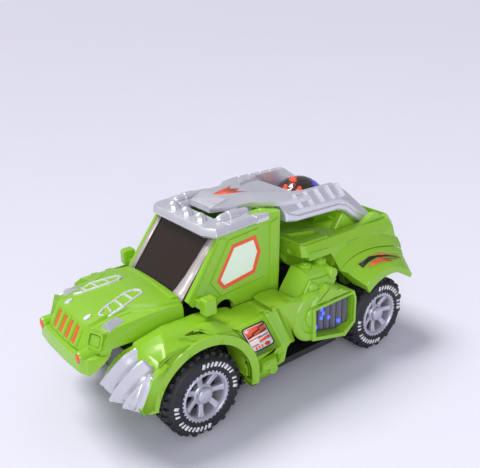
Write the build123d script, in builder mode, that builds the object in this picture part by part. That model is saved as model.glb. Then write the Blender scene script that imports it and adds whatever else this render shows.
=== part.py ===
"""Transforming dinosaur car: a battery toy car whose back, neck and head rise out of the roof.

Frame: millimetres, +X to the front of the car, +Y to its left, +Z up. The origin is on the ground,
in the middle of the car's length and width.
"""

import os
from math import cos, radians, sin, sqrt

from build123d import *

os.makedirs("parts", exist_ok=True)

# ---------------------------------------------------------------- driving dimensions
FRONT_AXLE_X = 48.0
REAR_AXLE_X = -70.0
TYRE_R = 21.0
RIM_R = 12.6
TYRE_IN_Y = 30.5
TYRE_OUT_Y = 45.5
AXLE_R = 1.5
RUN_CLEAR = 0.08
WALL = 2.0

TRAY_X0, TRAY_X1 = -88.0, 64.0
TRAY_HALF = 24.5
TRAY_Z0, TRAY_Z1 = 7.0, 28.0
FLOOR_TOP = TRAY_Z0 + WALL
LID_TOP = TRAY_Z1 + 1.6

SWIVEL_X = 12.0
SWIVEL_R = 17.0
DRIVE_WHEEL_R = 10.0

BODY_HINGE_X, BODY_HINGE_Z = -70.0, 35.0
CAB_HINGE_X, CAB_HINGE_Z = -10.0, 45.0
KNEE_X, KNEE_Z = -19.0, 38.5
NECK_X, NECK_Z = -82.5, 67.5
HEAD_X, HEAD_Z = -6.5, 82.0
JAW_X, JAW_Z = -5.5, 69.5

GEAR_MODULE = 1.2
PINION_TEETH = 10
SECTOR_TEETH = 40
GEAR_ANGLE = 26.0
PIN_R = 1.5

SIDE_OUT_Y = 46.7
DOME_X, DOME_Z, DOME_R = -50.0, 79.0, 16.0
DOME_SEAT_Z = 84.0

ROOF_OPEN_X, ROOF_OPEN_HALF = 18.5, 14.5
EAR_Y0, EAR_Y1 = 18.4, 21.2
TOWER_Y0, TOWER_Y1 = 13.6, 17.6
FORK_Y0, FORK_Y1 = 5.2, 7.6
CAB_LUG_Y0, CAB_LUG_Y1 = 20.4, 22.4
EAR_R = 4.5
HEAD_HUB_R = 3.2
JAW_PIN_R = 1.2
BEYOND = 60.0


# ---------------------------------------------------------------- helpers
def keep(part, name):
    """Names a finished piece and writes its STEP file."""
    part.label = name
    export_step(part, f"parts/{name}.step")
    return part


def slab(points, y0, y1):
    """An outline in X and Z, made solid from y0 to y1."""
    with BuildPart() as made:
        with BuildSketch(Plane.XZ.offset(-y1)):
            with BuildLine():
                Polyline(*points, close=True)
            make_face()
        extrude(amount=y1 - y0)
    return made.part


def block(x0, x1, y0, y1, z0, z1):
    """A rectangular block between two corners."""
    with BuildPart() as made:
        with BuildSketch(Plane.XY.offset(z0)):
            with Locations(((x0 + x1) / 2, (y0 + y1) / 2)):
                Rectangle(x1 - x0, y1 - y0)
        extrude(amount=z1 - z0)
    return made.part


def rod(x, z, radius, y0, y1):
    """A round bar along Y."""
    with BuildPart() as made:
        with BuildSketch(Plane.XZ.offset(-y1)):
            with Locations((x, z)):
                Circle(radius)
        extrude(amount=y1 - y0)
    return made.part


def post(x, y, radius, z0, z1):
    """A round bar along Z."""
    with BuildPart() as made:
        with BuildSketch(Plane.XY.offset(z0)):
            with Locations((x, y)):
                Circle(radius)
        extrude(amount=z1 - z0)
    return made.part


def ribbed(stations):
    """A solid lofted through half outlines (x, [(y, z), ...]) that are mirrored across the centre plane."""
    with BuildPart() as made:
        for x, half in stations:
            other = [(-y, z) for y, z in reversed(half) if abs(y) > 1e-6]
            with BuildSketch(Plane.YZ.offset(x)):
                with BuildLine():
                    Polyline(*half, *other, close=True)
                make_face()
        loft(ruled=True)
    return made.part


def both_sides(part, name):
    """Writes the left-hand piece and its mirror image."""
    keep(part, f"left_{name}")
    with BuildPart() as right:
        add(mirror(part, about=Plane.XZ))
    keep(right.part, f"right_{name}")


# ---------------------------------------------------------------- wheels
def make_rim():
    """A seven-spoke rim with its outer face at y = 0, spinning about Y."""
    dish = 3.0
    depth = 13.0
    cap_r, cap_base, cap_top = 4.2, -1.6, 0.3
    cap_ball = (cap_r**2 + (cap_top - cap_base) ** 2) / (2 * (cap_top - cap_base))
    cap_centre, cap_mid = cap_top - cap_ball, cap_r / 2
    with BuildPart() as rim:
        with BuildSketch(Plane.XZ):
            Circle(RIM_R)
            Circle(RIM_R - 1.8, mode=Mode.SUBTRACT)
        extrude(amount=depth)
        with BuildSketch(Plane.XZ.offset(dish)):
            Circle(5.2)
            with PolarLocations((RIM_R - 1.0) / 2 + 1.6, 7, start_angle=-90):
                Rectangle(RIM_R - 4.0, 2.9)
        extrude(amount=3.0)
        with BuildSketch(Plane.XZ.offset(dish)):
            Circle(3.2)
        extrude(amount=depth - dish)
        with BuildSketch(Plane.XZ.offset(-0.6)):
            Circle(RIM_R)
            Circle(RIM_R - 1.4, mode=Mode.SUBTRACT)
            with PolarLocations(RIM_R, 36):
                Rectangle(0.9, 0.9, mode=Mode.SUBTRACT)
        extrude(amount=0.6)
        with BuildSketch(Plane.XY):
            with BuildLine():
                Line((0, -dish), (cap_r, -dish))
                Line((cap_r, -dish), (cap_r, cap_base))
                ThreePointArc(
                    (cap_r, cap_base), (cap_mid, cap_centre + sqrt(cap_ball**2 - cap_mid**2)), (0, cap_top)
                )
                Line((0, cap_top), (0, -dish))
            make_face()
        revolve(axis=Axis.Y)
        with BuildSketch(Plane.XZ.offset(dish + 1.0)):
            Circle(AXLE_R)
        extrude(amount=depth, mode=Mode.SUBTRACT)
    return rim.part


def make_tyre():
    """A chunky off-road tyre, with its outer sidewall at y = 0."""
    width = TYRE_OUT_Y - TYRE_IN_Y
    lugs = 24
    with BuildPart() as tyre:
        with BuildSketch(Plane.XY):
            with BuildLine():
                Polyline((RIM_R, -0.6), (RIM_R + 1.2, 0), (TYRE_R - 4.0, 0))
                ThreePointArc((TYRE_R - 4.0, 0), (TYRE_R - 1.6, -0.6), (TYRE_R - 0.5, -2.6))
                Line((TYRE_R - 0.5, -2.6), (TYRE_R - 0.5, -width + 2.6))
                ThreePointArc(
                    (TYRE_R - 0.5, -width + 2.6),
                    (TYRE_R - 1.6, -width + 0.6),
                    (TYRE_R - 4.0, -width),
                )
                Polyline((TYRE_R - 4.0, -width), (RIM_R, -width), (RIM_R, -0.6))
            make_face()
        revolve(axis=Axis.Y)
        with BuildSketch(Plane.XZ.offset(2.4)):
            Circle(TYRE_R)
            Circle(TYRE_R - 1.2, mode=Mode.SUBTRACT)
            with PolarLocations(TYRE_R, lugs):
                Rectangle(2.4, 1.6, mode=Mode.SUBTRACT)
        extrude(amount=width - 4.8)
    return tyre.part


rim_part, tyre_part = make_rim(), make_tyre()
for end, axle_x in (("front", FRONT_AXLE_X), ("rear", REAR_AXLE_X)):
    for side, turn in (("left", 0), ("right", 180)):
        place = Pos(axle_x, 0, TYRE_R) * Rot(0, 0, turn)
        keep(place * Pos(0, TYRE_OUT_Y - 0.6, 0) * rim_part, f"{end}_{side}_rim")
        keep(place * Pos(0, TYRE_OUT_Y, 0) * tyre_part, f"{end}_{side}_tyre")
    axle_half = TYRE_OUT_Y - 0.6 - 4.0
    keep(rod(axle_x, TYRE_R, AXLE_R, -axle_half, axle_half), f"{end}_axle")


# ---------------------------------------------------------------- chassis tray
BATTERY_X0, BATTERY_X1 = -62.5, -12.0
BATTERY_Z, BATTERY_R, BATTERY_PITCH = 17.6, 7.1, 15.0
HATCH_X0, HATCH_X1, HATCH_HALF = -64.0, -8.0, 22.0
SPEAKER_X, SPEAKER_R = -77.0, 9.0
SWITCH_X, SWITCH_Y = 36.0, 15.0
TRAY_POSTS = [(-83.4, 19.0), (-83.4, -19.0), (59.4, 19.0), (59.4, -19.0)]
DOOR_SCREW_X = -10.4

with BuildPart() as chassis_tray:
    add(block(TRAY_X0, TRAY_X1, -TRAY_HALF, TRAY_HALF, TRAY_Z0, TRAY_Z1))
    chamfer(chassis_tray.edges().filter_by(Axis.Z), 3.0)
    add(
        block(TRAY_X0 + WALL, TRAY_X1 - WALL, -TRAY_HALF + WALL, TRAY_HALF - WALL, FLOOR_TOP, TRAY_Z1),
        mode=Mode.SUBTRACT,
    )
    for x, y in TRAY_POSTS:
        add(post(x, y, 3.0, FLOOR_TOP, TRAY_Z1))
        add(post(x, y, 1.1, FLOOR_TOP + 4, TRAY_Z1), mode=Mode.SUBTRACT)
    for x0, x1 in ((-65.0, BATTERY_X0 - 0.5), (BATTERY_X1 + 0.5, HATCH_X1 - 0.2)):
        add(block(x0, x1, -TRAY_HALF + WALL, TRAY_HALF - WALL, FLOOR_TOP, 25.5))
    for side in (-1, 1):
        add(block(-44, 22, *sorted((side * TRAY_HALF, side * 38.0)), 11.5, 15.0))
    for x in (FRONT_AXLE_X, REAR_AXLE_X):
        add(rod(x, TYRE_R, AXLE_R + RUN_CLEAR, -60, 60), mode=Mode.SUBTRACT)
    add(post(SWIVEL_X, 0, SWIVEL_R + 0.4, 0, 12), mode=Mode.SUBTRACT)
    add(block(HATCH_X0, HATCH_X1, -HATCH_HALF, HATCH_HALF, 0, FLOOR_TOP), mode=Mode.SUBTRACT)
    add(block(HATCH_X0 - 2, HATCH_X0, -6.2, 6.2, 8.1, 8.9), mode=Mode.SUBTRACT)
    add(post(DOOR_SCREW_X, 0, 1.0, FLOOR_TOP - 1, 14), mode=Mode.SUBTRACT)
    add(block(SWITCH_X - 4, SWITCH_X + 4, SWITCH_Y - 2, SWITCH_Y + 2, 0, FLOOR_TOP), mode=Mode.SUBTRACT)
    with BuildSketch(Plane.XY):
        with Locations((SPEAKER_X, 0)):
            with GridLocations(3.2, 3.2, 4, 4):
                Circle(0.9)
    extrude(amount=20, mode=Mode.SUBTRACT)
keep(chassis_tray.part, "chassis_tray")

# Lid over the tray, with the towers that carry the body, cab and gearbox.
BODY_EAR_Y0, BODY_EAR_Y1 = 15.0, 18.0
CAB_EAR_Y0, CAB_EAR_Y1 = 17.0, 20.0
with BuildPart() as chassis_lid:
    add(block(TRAY_X0, TRAY_X1, -TRAY_HALF, TRAY_HALF, TRAY_Z1, LID_TOP))
    chamfer(chassis_lid.edges().filter_by(Axis.Z), 3.0)
    for side in (-1, 1):
        add(
            slab(
                [(BODY_HINGE_X - 8, LID_TOP), (BODY_HINGE_X + 8, LID_TOP), (BODY_HINGE_X + EAR_R, 38),
                 (BODY_HINGE_X - EAR_R, 38)],
                *sorted((side * BODY_EAR_Y0, side * BODY_EAR_Y1)),
            )
        )
        add(rod(BODY_HINGE_X, BODY_HINGE_Z, 4.5, *sorted((side * BODY_EAR_Y0, side * BODY_EAR_Y1))))
        add(
            slab(
                [(CAB_HINGE_X - 10, LID_TOP), (CAB_HINGE_X + 10, LID_TOP), (CAB_HINGE_X + 4, 47),
                 (CAB_HINGE_X - 4, 47)],
                *sorted((side * CAB_EAR_Y0, side * CAB_EAR_Y1)),
            )
        )
        add(rod(CAB_HINGE_X, CAB_HINGE_Z, 4.2, *sorted((side * CAB_EAR_Y0, side * CAB_EAR_Y1))))
        add(
            slab(
                [(KNEE_X - 6, LID_TOP), (24, LID_TOP), (24, 34), (10, 40), (KNEE_X + 3, 43),
                 (KNEE_X - 6, 43)],
                *sorted((side * 23.0, side * 24.5)),
            )
        )
    for hinge_x, hinge_z in ((BODY_HINGE_X, BODY_HINGE_Z), (CAB_HINGE_X, CAB_HINGE_Z), (KNEE_X, KNEE_Z)):
        add(rod(hinge_x, hinge_z, PIN_R, -30, 30), mode=Mode.SUBTRACT)
    for x, y in TRAY_POSTS:
        add(post(x, y, 1.4, TRAY_Z1, LID_TOP), mode=Mode.SUBTRACT)
keep(chassis_lid.part, "chassis_lid")

with BuildPart() as lid_screws:
    for x, y in TRAY_POSTS:
        add(post(x, y, 1.1, TRAY_Z1 - 8, LID_TOP))
        add(post(x, y, 2.2, LID_TOP, LID_TOP + 1.2))
        add(block(x - 1.6, x + 1.6, y - 0.25, y + 0.25, LID_TOP + 0.6, LID_TOP + 1.2), mode=Mode.SUBTRACT)
keep(lid_screws.part, "lid_screws")

with BuildPart() as battery_door:
    gap = 0.2
    add(block(HATCH_X0 + gap, HATCH_X1 - gap, -HATCH_HALF + gap, HATCH_HALF - gap, TRAY_Z0, FLOOR_TOP - gap))
    add(block(HATCH_X0 - 1.6, HATCH_X0 + 0.2, -6, 6, 8.2, 8.8))
    with BuildSketch(Plane.XY.offset(TRAY_Z0)):
        with GridLocations(4.0, 0, 8, 1):
            with Locations((-38, 0)):
                Rectangle(1.6, 30)
    extrude(amount=0.5, mode=Mode.SUBTRACT)
    add(post(DOOR_SCREW_X, 0, 1.2, 6, 9), mode=Mode.SUBTRACT)
    add(post(DOOR_SCREW_X, 0, 2.0, 6, 8.0), mode=Mode.SUBTRACT)
keep(battery_door.part, "battery_door")

with BuildPart() as battery_door_screw:
    add(post(DOOR_SCREW_X, 0, 1.9, TRAY_Z0 + 0.1, 8.0))
    add(post(DOOR_SCREW_X, 0, 1.0, 8.0, 13.0))
    add(
        block(DOOR_SCREW_X - 1.4, DOOR_SCREW_X + 1.4, -0.3, 0.3, TRAY_Z0, TRAY_Z0 + 0.7),
        mode=Mode.SUBTRACT,
    )
keep(battery_door_screw.part, "battery_door_screw")

with BuildPart() as batteries:
    for y in (-BATTERY_PITCH, 0, BATTERY_PITCH):
        with BuildSketch(Plane.YZ.offset(BATTERY_X0)):
            with Locations((y, BATTERY_Z)):
                Circle(BATTERY_R)
        extrude(amount=BATTERY_X1 - BATTERY_X0 - 1.4)
        with BuildSketch(Plane.YZ.offset(BATTERY_X1 - 1.4)):
            with Locations((y, BATTERY_Z)):
                Circle(2.6)
        extrude(amount=1.4)
keep(batteries.part, "batteries")

with BuildPart() as battery_contacts:
    for x in (BATTERY_X0 - 0.5, BATTERY_X1):
        for y in (-BATTERY_PITCH, 0, BATTERY_PITCH):
            add(block(x, x + 0.5, y - 5, y + 5, FLOOR_TOP + 2, 24))
keep(battery_contacts.part, "battery_contacts")

with BuildPart() as speaker:
    add(post(SPEAKER_X, 0, SPEAKER_R, FLOOR_TOP, FLOOR_TOP + 1.5))
    with BuildSketch(Plane.XY.offset(FLOOR_TOP + 1.5)):
        with Locations((SPEAKER_X, 0)):
            Circle(SPEAKER_R - 0.6)
    extrude(amount=2.4, taper=30)
    add(post(SPEAKER_X, 0, 4.5, FLOOR_TOP + 3.9, FLOOR_TOP + 7.0))
keep(speaker.part, "speaker")

with BuildPart() as circuit_board:
    add(block(34, 60, -12, 12, 25.4, 26.8))
    add(block(40, 48, -5, 3, 24.0, 25.4))
    for y in (-9.0, 8.0):
        add(post(37.5, y, 1.8, 23.6, 25.4))
    add(block(52, 57, -8, 4, 24.2, 25.4))
keep(circuit_board.part, "circuit_board")

# Power switch: a slide switch in the floor, with a knob that travels 3 mm along X.
SWITCH_TRAVEL = 3.0
with BuildPart() as switch_case:
    add(block(SWITCH_X - 6, SWITCH_X + 6, SWITCH_Y - 3.5, SWITCH_Y + 3.5, FLOOR_TOP, FLOOR_TOP + 5))
    add(
        block(SWITCH_X - 4, SWITCH_X + 4, SWITCH_Y - 2, SWITCH_Y + 2, FLOOR_TOP, FLOOR_TOP + 3),
        mode=Mode.SUBTRACT,
    )
keep(switch_case.part, "switch_case")
with BuildPart() as power_switch_knob:
    add(block(SWITCH_X - 3.8, SWITCH_X - 0.2, SWITCH_Y - 1.8, SWITCH_Y + 1.8, TRAY_Z0 - 1.2, FLOOR_TOP + 2.6))
    chamfer(power_switch_knob.edges().group_by(Axis.Z)[0], 0.4)
keep(power_switch_knob.part, "power_switch_knob")

# ---------------------------------------------------------------- bump-and-go drive unit
with BuildPart() as swivel_plate:
    add(post(SWIVEL_X, 0, SWIVEL_R, TRAY_Z0, FLOOR_TOP + 0.3))
    add(post(SWIVEL_X, 0, SWIVEL_R + 2.0, FLOOR_TOP + 0.3, FLOOR_TOP + 1.3))
    for side in (-1, 1):
        add(
            block(SWIVEL_X - 10.6, SWIVEL_X + 10.6, *sorted((side * 6.2, side * 11.4)), 0, 12),
            mode=Mode.SUBTRACT,
        )
        add(block(SWIVEL_X - 9, SWIVEL_X + 11, *sorted((side * 4.4, side * 5.6)), 10.3, 24.0))
        add(block(SWIVEL_X - 3, SWIVEL_X + 3, *sorted((side * 12.0, side * 13.6)), 10.3, 13.5))
    add(block(SWIVEL_X - 9, SWIVEL_X + 11, -4.4, 4.4, 22.8, 24.0))
    add(rod(SWIVEL_X, DRIVE_WHEEL_R, 1.0 + RUN_CLEAR, -13.7, 13.7), mode=Mode.SUBTRACT)
    add(block(SWIVEL_X - 2.0, SWIVEL_X + 2.0, -4.4, 4.4, 8.0, 12.4), mode=Mode.SUBTRACT)
keep(swivel_plate.part, "swivel_plate")

with BuildPart() as swivel_ring:
    add(post(SWIVEL_X, 0, SWIVEL_R + 4.6, FLOOR_TOP, FLOOR_TOP + 2.8))
    add(post(SWIVEL_X, 0, SWIVEL_R + 2.3, 0, FLOOR_TOP + 1.6), mode=Mode.SUBTRACT)
    add(post(SWIVEL_X, 0, SWIVEL_R + 0.2, 0, 20), mode=Mode.SUBTRACT)
    add(block(SWIVEL_X - 30, SWIVEL_X + 30, TRAY_HALF - WALL - 0.1, 40, 0, 20), mode=Mode.SUBTRACT)
    add(block(SWIVEL_X - 30, SWIVEL_X + 30, -40, -TRAY_HALF + WALL + 0.1, 0, 20), mode=Mode.SUBTRACT)
    add(block(-12, HATCH_X1 + 0.2, -30, 30, 0, 20), mode=Mode.SUBTRACT)
    add(block(SWITCH_X - 6.2, SWITCH_X + 6.2, SWITCH_Y - 3.7, SWITCH_Y + 3.7, 0, 20), mode=Mode.SUBTRACT)
keep(swivel_ring.part, "swivel_ring")

with BuildPart() as drive_motor:
    with BuildSketch(Plane.YZ.offset(SWIVEL_X - 8)):
        with Locations((0, 17.2)):
            Circle(4.3)
    extrude(amount=15)
    with BuildSketch(Plane.YZ.offset(SWIVEL_X + 7)):
        with Locations((0, 17.2)):
            Circle(0.8)
    extrude(amount=3)
keep(drive_motor.part, "drive_motor")

with BuildPart() as drive_shaft:
    add(rod(SWIVEL_X, DRIVE_WHEEL_R, 1.0, -13.4, 13.4))
    add(rod(SWIVEL_X, DRIVE_WHEEL_R, 1.8, -3.6, 3.6))
keep(drive_shaft.part, "drive_shaft")
for side, low in (("left", 6.8), ("right", -10.8)):
    with BuildPart() as drive_wheel:
        add(rod(SWIVEL_X, DRIVE_WHEEL_R, DRIVE_WHEEL_R, low, low + 4))
        chamfer(drive_wheel.edges(), 0.5)
        add(rod(SWIVEL_X, DRIVE_WHEEL_R, 1.0, low, low + 4), mode=Mode.SUBTRACT)
    keep(drive_wheel.part, f"drive_{side}_wheel")

# ---------------------------------------------------------------- lift gearbox and its sector gear
PINION_R = GEAR_MODULE * PINION_TEETH / 2
SECTOR_R = GEAR_MODULE * SECTOR_TEETH / 2
PINION_X = BODY_HINGE_X + (PINION_R + SECTOR_R) * cos(radians(GEAR_ANGLE))
PINION_Z = BODY_HINGE_Z + (PINION_R + SECTOR_R) * sin(radians(GEAR_ANGLE))


def gear_outline(teeth, first_angle, count):
    """Corner points of straight-sided teeth in the gear's own plane, from a tooth at first_angle."""
    pitch_r = GEAR_MODULE * teeth / 2
    root_r = pitch_r - 1.25 * GEAR_MODULE
    tip_r = pitch_r + 0.75 * GEAR_MODULE
    half_root = 0.27 * 360 / teeth
    half_tip = 0.11 * 360 / teeth
    corners = []
    for k in range(count):
        middle = first_angle + k * 360 / teeth
        for angle, r in (
            (middle - half_root, root_r),
            (middle - half_tip, tip_r),
            (middle + half_tip, tip_r),
            (middle + half_root, root_r),
        ):
            corners.append((r * cos(radians(angle)), r * sin(radians(angle))))
    return corners


GEAR_Y0, GEAR_Y1 = -2.0, 2.0
with BuildPart() as lift_pinion:
    with BuildSketch(Plane.XZ.offset(-GEAR_Y1)):
        with BuildLine(Location((PINION_X, PINION_Z))):
            first = GEAR_ANGLE + 180 + 180 / PINION_TEETH
            Polyline(*gear_outline(PINION_TEETH, first, PINION_TEETH), close=True)
        make_face()
    extrude(amount=GEAR_Y1 - GEAR_Y0)
    add(rod(PINION_X, PINION_Z, 2.0, -9.4, 9.4))
keep(lift_pinion.part, "lift_pinion")

with BuildPart() as lift_sector:
    with BuildSketch(Plane.XZ.offset(-GEAR_Y1)):
        with BuildLine(Location((BODY_HINGE_X, BODY_HINGE_Z))):
            teeth = gear_outline(SECTOR_TEETH, GEAR_ANGLE - 27, 5)
            Polyline((0, -3.4), *teeth, (16, 17), (16, 20), (4, 20), close=True)
        make_face()
        with Locations((BODY_HINGE_X, BODY_HINGE_Z)):
            Circle(4.6)
            Circle(PIN_R, mode=Mode.SUBTRACT)
    extrude(amount=GEAR_Y1 - GEAR_Y0)
keep(lift_sector.part, "lift_sector")

GEARBOX_X0, GEARBOX_X1 = -52.0, -22.0
with BuildPart() as gearbox_case:
    add(block(GEARBOX_X0, GEARBOX_X1, -13.0, 13.0, LID_TOP, 52))
    chamfer(gearbox_case.edges().filter_by(Axis.Y), 2.5)
    add(block(GEARBOX_X0 - 1, GEARBOX_X1 - 3, -3.0, 3.0, LID_TOP + 1.5, 60), mode=Mode.SUBTRACT)
    add(rod(PINION_X, PINION_Z, 2.0 + RUN_CLEAR, -9.5, 9.5), mode=Mode.SUBTRACT)
keep(gearbox_case.part, "gearbox_case")
with BuildPart() as lift_motor:
    with BuildSketch(Plane.YZ.offset(GEARBOX_X1)):
        with Locations((0, 37)):
            Rectangle(20, 14)
    extrude(amount=1.0)
    with BuildSketch(Plane.YZ.offset(GEARBOX_X1 + 1.0)):
        with Locations((0, 37)):
            RectangleRounded(15, 12, 5)
    extrude(amount=18)
keep(lift_motor.part, "lift_motor")

# ---------------------------------------------------------------- hinge pins
keep(rod(BODY_HINGE_X, BODY_HINGE_Z, PIN_R, -22.0, 22.0), "body_hinge_pin")
keep(rod(CAB_HINGE_X, CAB_HINGE_Z, PIN_R, -24.0, 24.0), "cab_hinge_pin")

# ---------------------------------------------------------------- front legs: fender, side panel and knee
KNEE_DISC_R = 13.6
KNEE_RING_R = 14.2
THIGH_IN_Y, THIGH_OUT_Y, POD_OUT_Y = 30.5, 43.2, 47.5


def shell(points, y0, y1, wall=WALL):
    """A tray-like shell: an outline in X and Z with its closed side at y1 and its open side at y0."""
    with BuildPart() as made:
        with BuildSketch(Plane.XZ.offset(-y1)):
            with BuildLine():
                Polyline(*points, close=True)
            make_face()
        extrude(amount=y1 - y0)
        with BuildSketch(Plane.XZ.offset(-y1 + wall)):
            with BuildLine():
                Polyline(*points, close=True)
            make_face()
            offset(amount=-wall, kind=Kind.INTERSECTION, mode=Mode.REPLACE)
        extrude(amount=y1 - y0, mode=Mode.SUBTRACT)
    return made.part


FENDER_OUTLINE = [
    (24, 51.5), (41, 54.2), (57, 54.5), (71, 51.0), (82, 26.5), (75.5, 24),
    (74, 16), (24, 16), (22.5, 15.8), (20.5, 19), (20.5, 50),
]
SIDE_OUTLINE = [
    (22.5, 51.2), (14, 51.6), (8.2, 52.5), (4, 53.4), (-5, 52.4), (-14.5, 50.2), (-19, 44),
    (-19, 31), (-8, 27), (-4, 24.7), (-1.7, 17.4), (6, 16.2), (16.5, 18.6), (22.5, 18.6),
]
with BuildPart() as left_fender:
    add(shell(FENDER_OUTLINE, 28.4, SIDE_OUT_Y))
    add(shell(SIDE_OUTLINE, 30.5, SIDE_OUT_Y - 0.6))
    add(block(20.5, 22.5, 24.5, 40, 18, 44))
    add(block(-1, 18, 26, 38, 15.0, 18.8))
    add(rod(FRONT_AXLE_X, TYRE_R, 25.6, 24, 60), mode=Mode.SUBTRACT)
    add(rod(FRONT_AXLE_X, TYRE_R, 26.3, SIDE_OUT_Y - 2.1, 60), mode=Mode.SUBTRACT)
    add(block(26, 80, 24, 60, 0, 21), mode=Mode.SUBTRACT)
    add(rod(KNEE_X, KNEE_Z, KNEE_RING_R, 30, 60), mode=Mode.SUBTRACT)
    add(rod(KNEE_X, KNEE_Z, 18.6, 30, THIGH_OUT_Y + 0.4), mode=Mode.SUBTRACT)
    add(block(-30, -5.6, 30, THIGH_OUT_Y + 0.4, 44, 60), mode=Mode.SUBTRACT)
both_sides(left_fender.part, "fender")

with BuildPart() as left_claws:
    for low, high, drop, reach in ((28.0, 33.6, 0.0, 0.0), (33.9, 39.6, 0.8, 0.6), (39.9, 45.6, 2.4, -0.6)):
        with BuildSketch(Plane.XZ.offset(-high)):
            with BuildLine():
                Polyline((82.4, 26), (71.7 + 0.45 * drop, 50.0 - drop), (76, 50.3 - drop))
                ThreePointArc((76, 50.3 - drop), (85.4 + reach, 41 - drop), (88.8 + reach, 27))
                ThreePointArc((88.8 + reach, 27), (88.2 + reach, 21), (85.5, 17.2))
                Polyline((85.5, 17.2), (82.4, 19), (82.4, 26))
            make_face()
        extrude(amount=high - low)
    add(slab([(82.4, 20), (84, 20), (84, 26), (75.4, 46), (73.6, 46), (82.4, 26.1)], 28.2, 45.4))
both_sides(left_claws.part, "claws")

# ---------------------------------------------------------------- thigh and engine pod
POD_OUTLINE = [
    (-15, 51.5), (-27, 54.6), (-46.2, 44.6), (-48.4, 39), (-48.4, 25.6), (-41.3, 19.2), (-18.4, 26.4),
]
POD_WINDOW = [(-19.3, 40.6), (-44.7, 41.9), (-46.3, 26.7), (-37.7, 25.2), (-20.7, 28.4)]
THIGH_OUTLINE = [
    (-16.7, 61.9), (-35.5, 60.3), (-40.6, 54.6), (-33, 44), (KNEE_X, KNEE_Z), (-4, 44), (-8.6, 51.9),
]


with BuildPart() as knee_disc:
    add(rod(KNEE_X, KNEE_Z, KNEE_DISC_R, 33.0, 45.0))
    add(rod(KNEE_X, KNEE_Z, KNEE_DISC_R - 2, 0, 43.0), mode=Mode.SUBTRACT)
    add(block(-60, -19.4, 20, 60, 0, 80), mode=Mode.SUBTRACT)
    add(rod(KNEE_X, KNEE_Z, 3.4, THIGH_IN_Y, 45.0))
with BuildPart() as front_trim:
    add(slab([(-19, 70), (10, 70), (10, 10), (-19, 10)], 20, 60))
    add(rod(KNEE_X, KNEE_Z, KNEE_DISC_R, THIGH_OUT_Y, BEYOND), mode=Mode.SUBTRACT)
    add(rod(KNEE_X, KNEE_Z, 17.0, 0, THIGH_OUT_Y), mode=Mode.SUBTRACT)
    add(
        slab([(-60, 70), (-16.7, 61.9), (-8.6, 51.9), (KNEE_X, KNEE_Z), (-60, KNEE_Z)], 20, THIGH_OUT_Y),
        mode=Mode.SUBTRACT,
    )
with BuildPart() as left_thigh:
    add(shell(THIGH_OUTLINE, THIGH_IN_Y, 42.4))
    add(shell(POD_OUTLINE, 33.0, POD_OUT_Y, 2.2))
    add(front_trim.part, mode=Mode.SUBTRACT)
    add(knee_disc.part)
    add(slab(POD_WINDOW, 41, 60), mode=Mode.SUBTRACT)
    add(rod(KNEE_X, KNEE_Z, PIN_R + RUN_CLEAR, 20, 43.8), mode=Mode.SUBTRACT)
    for x, y in ((-23.0, 34.4), (-34.0, 34.4)):
        add(post(x, y, 2.6, 58, 62.6))
    for x, z in ((-21.3, 56.2), (-35.2, 56.4)):
        add(rod(x, z, 2.5, 41, 43.1))
both_sides(left_thigh.part, "thigh")

with BuildPart() as left_pod_lens:
    add(slab([(-20.6, 41.5), (-45.4, 42.4), (-45.9, 27), (-38, 24.4), (-22.6, 28.4)], 41.2, 43.0))
    for k in range(5):
        add(block(-42.6 + 4.2 * k, -41.4 + 4.2 * k, 43.0, 43.8, 29.0, 39.0))
    add(left_thigh.part, mode=Mode.SUBTRACT)
both_sides(left_pod_lens.part, "pod_lens")
both_sides(rod(KNEE_X, KNEE_Z, PIN_R, 23.0, 43.6), "knee_pin")

# ---------------------------------------------------------------- hood
FRONT_X = 96.5
HOOD_STATIONS = [
    (46.0, 50.5, 27.0, 57.0, 25.5, 60.5, 19.0, 61.8, 62.3),
    (56.0, 50.5, 27.0, 57.0, 25.5, 62.0, 17.0, 64.0, 64.3),
    (70.0, 50.5, 26.5, 55.0, 24.0, 60.0, 15.5, 62.5, 63.0),
    (84.0, 50.5, 25.5, 53.0, 21.5, 57.5, 15.5, 60.4, 60.8),
    (94.0, 50.5, 23.0, 51.5, 19.0, 54.5, 15.0, 57.2, 57.6),
]


def hood_loft(inset, drop):
    """The hood's outer form, or with an inset its inner one, reaching lower by drop."""
    rows = []
    for x, low, wide, side_z, mid_y, mid_z, panel_y, panel_z, top in HOOD_STATIONS:
        rows.append(
            (
                x - (2.4 if inset and x > 90 else 0) - (1 if inset and x < 50 else 0),
                [
                    (0, low - drop), (wide - inset, low - drop), (wide - inset, side_z - inset),
                    (mid_y - inset, mid_z - inset), (panel_y - inset, panel_z - inset), (0, top - inset),
                ],
            )
        )
    return ribbed(rows)


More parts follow.
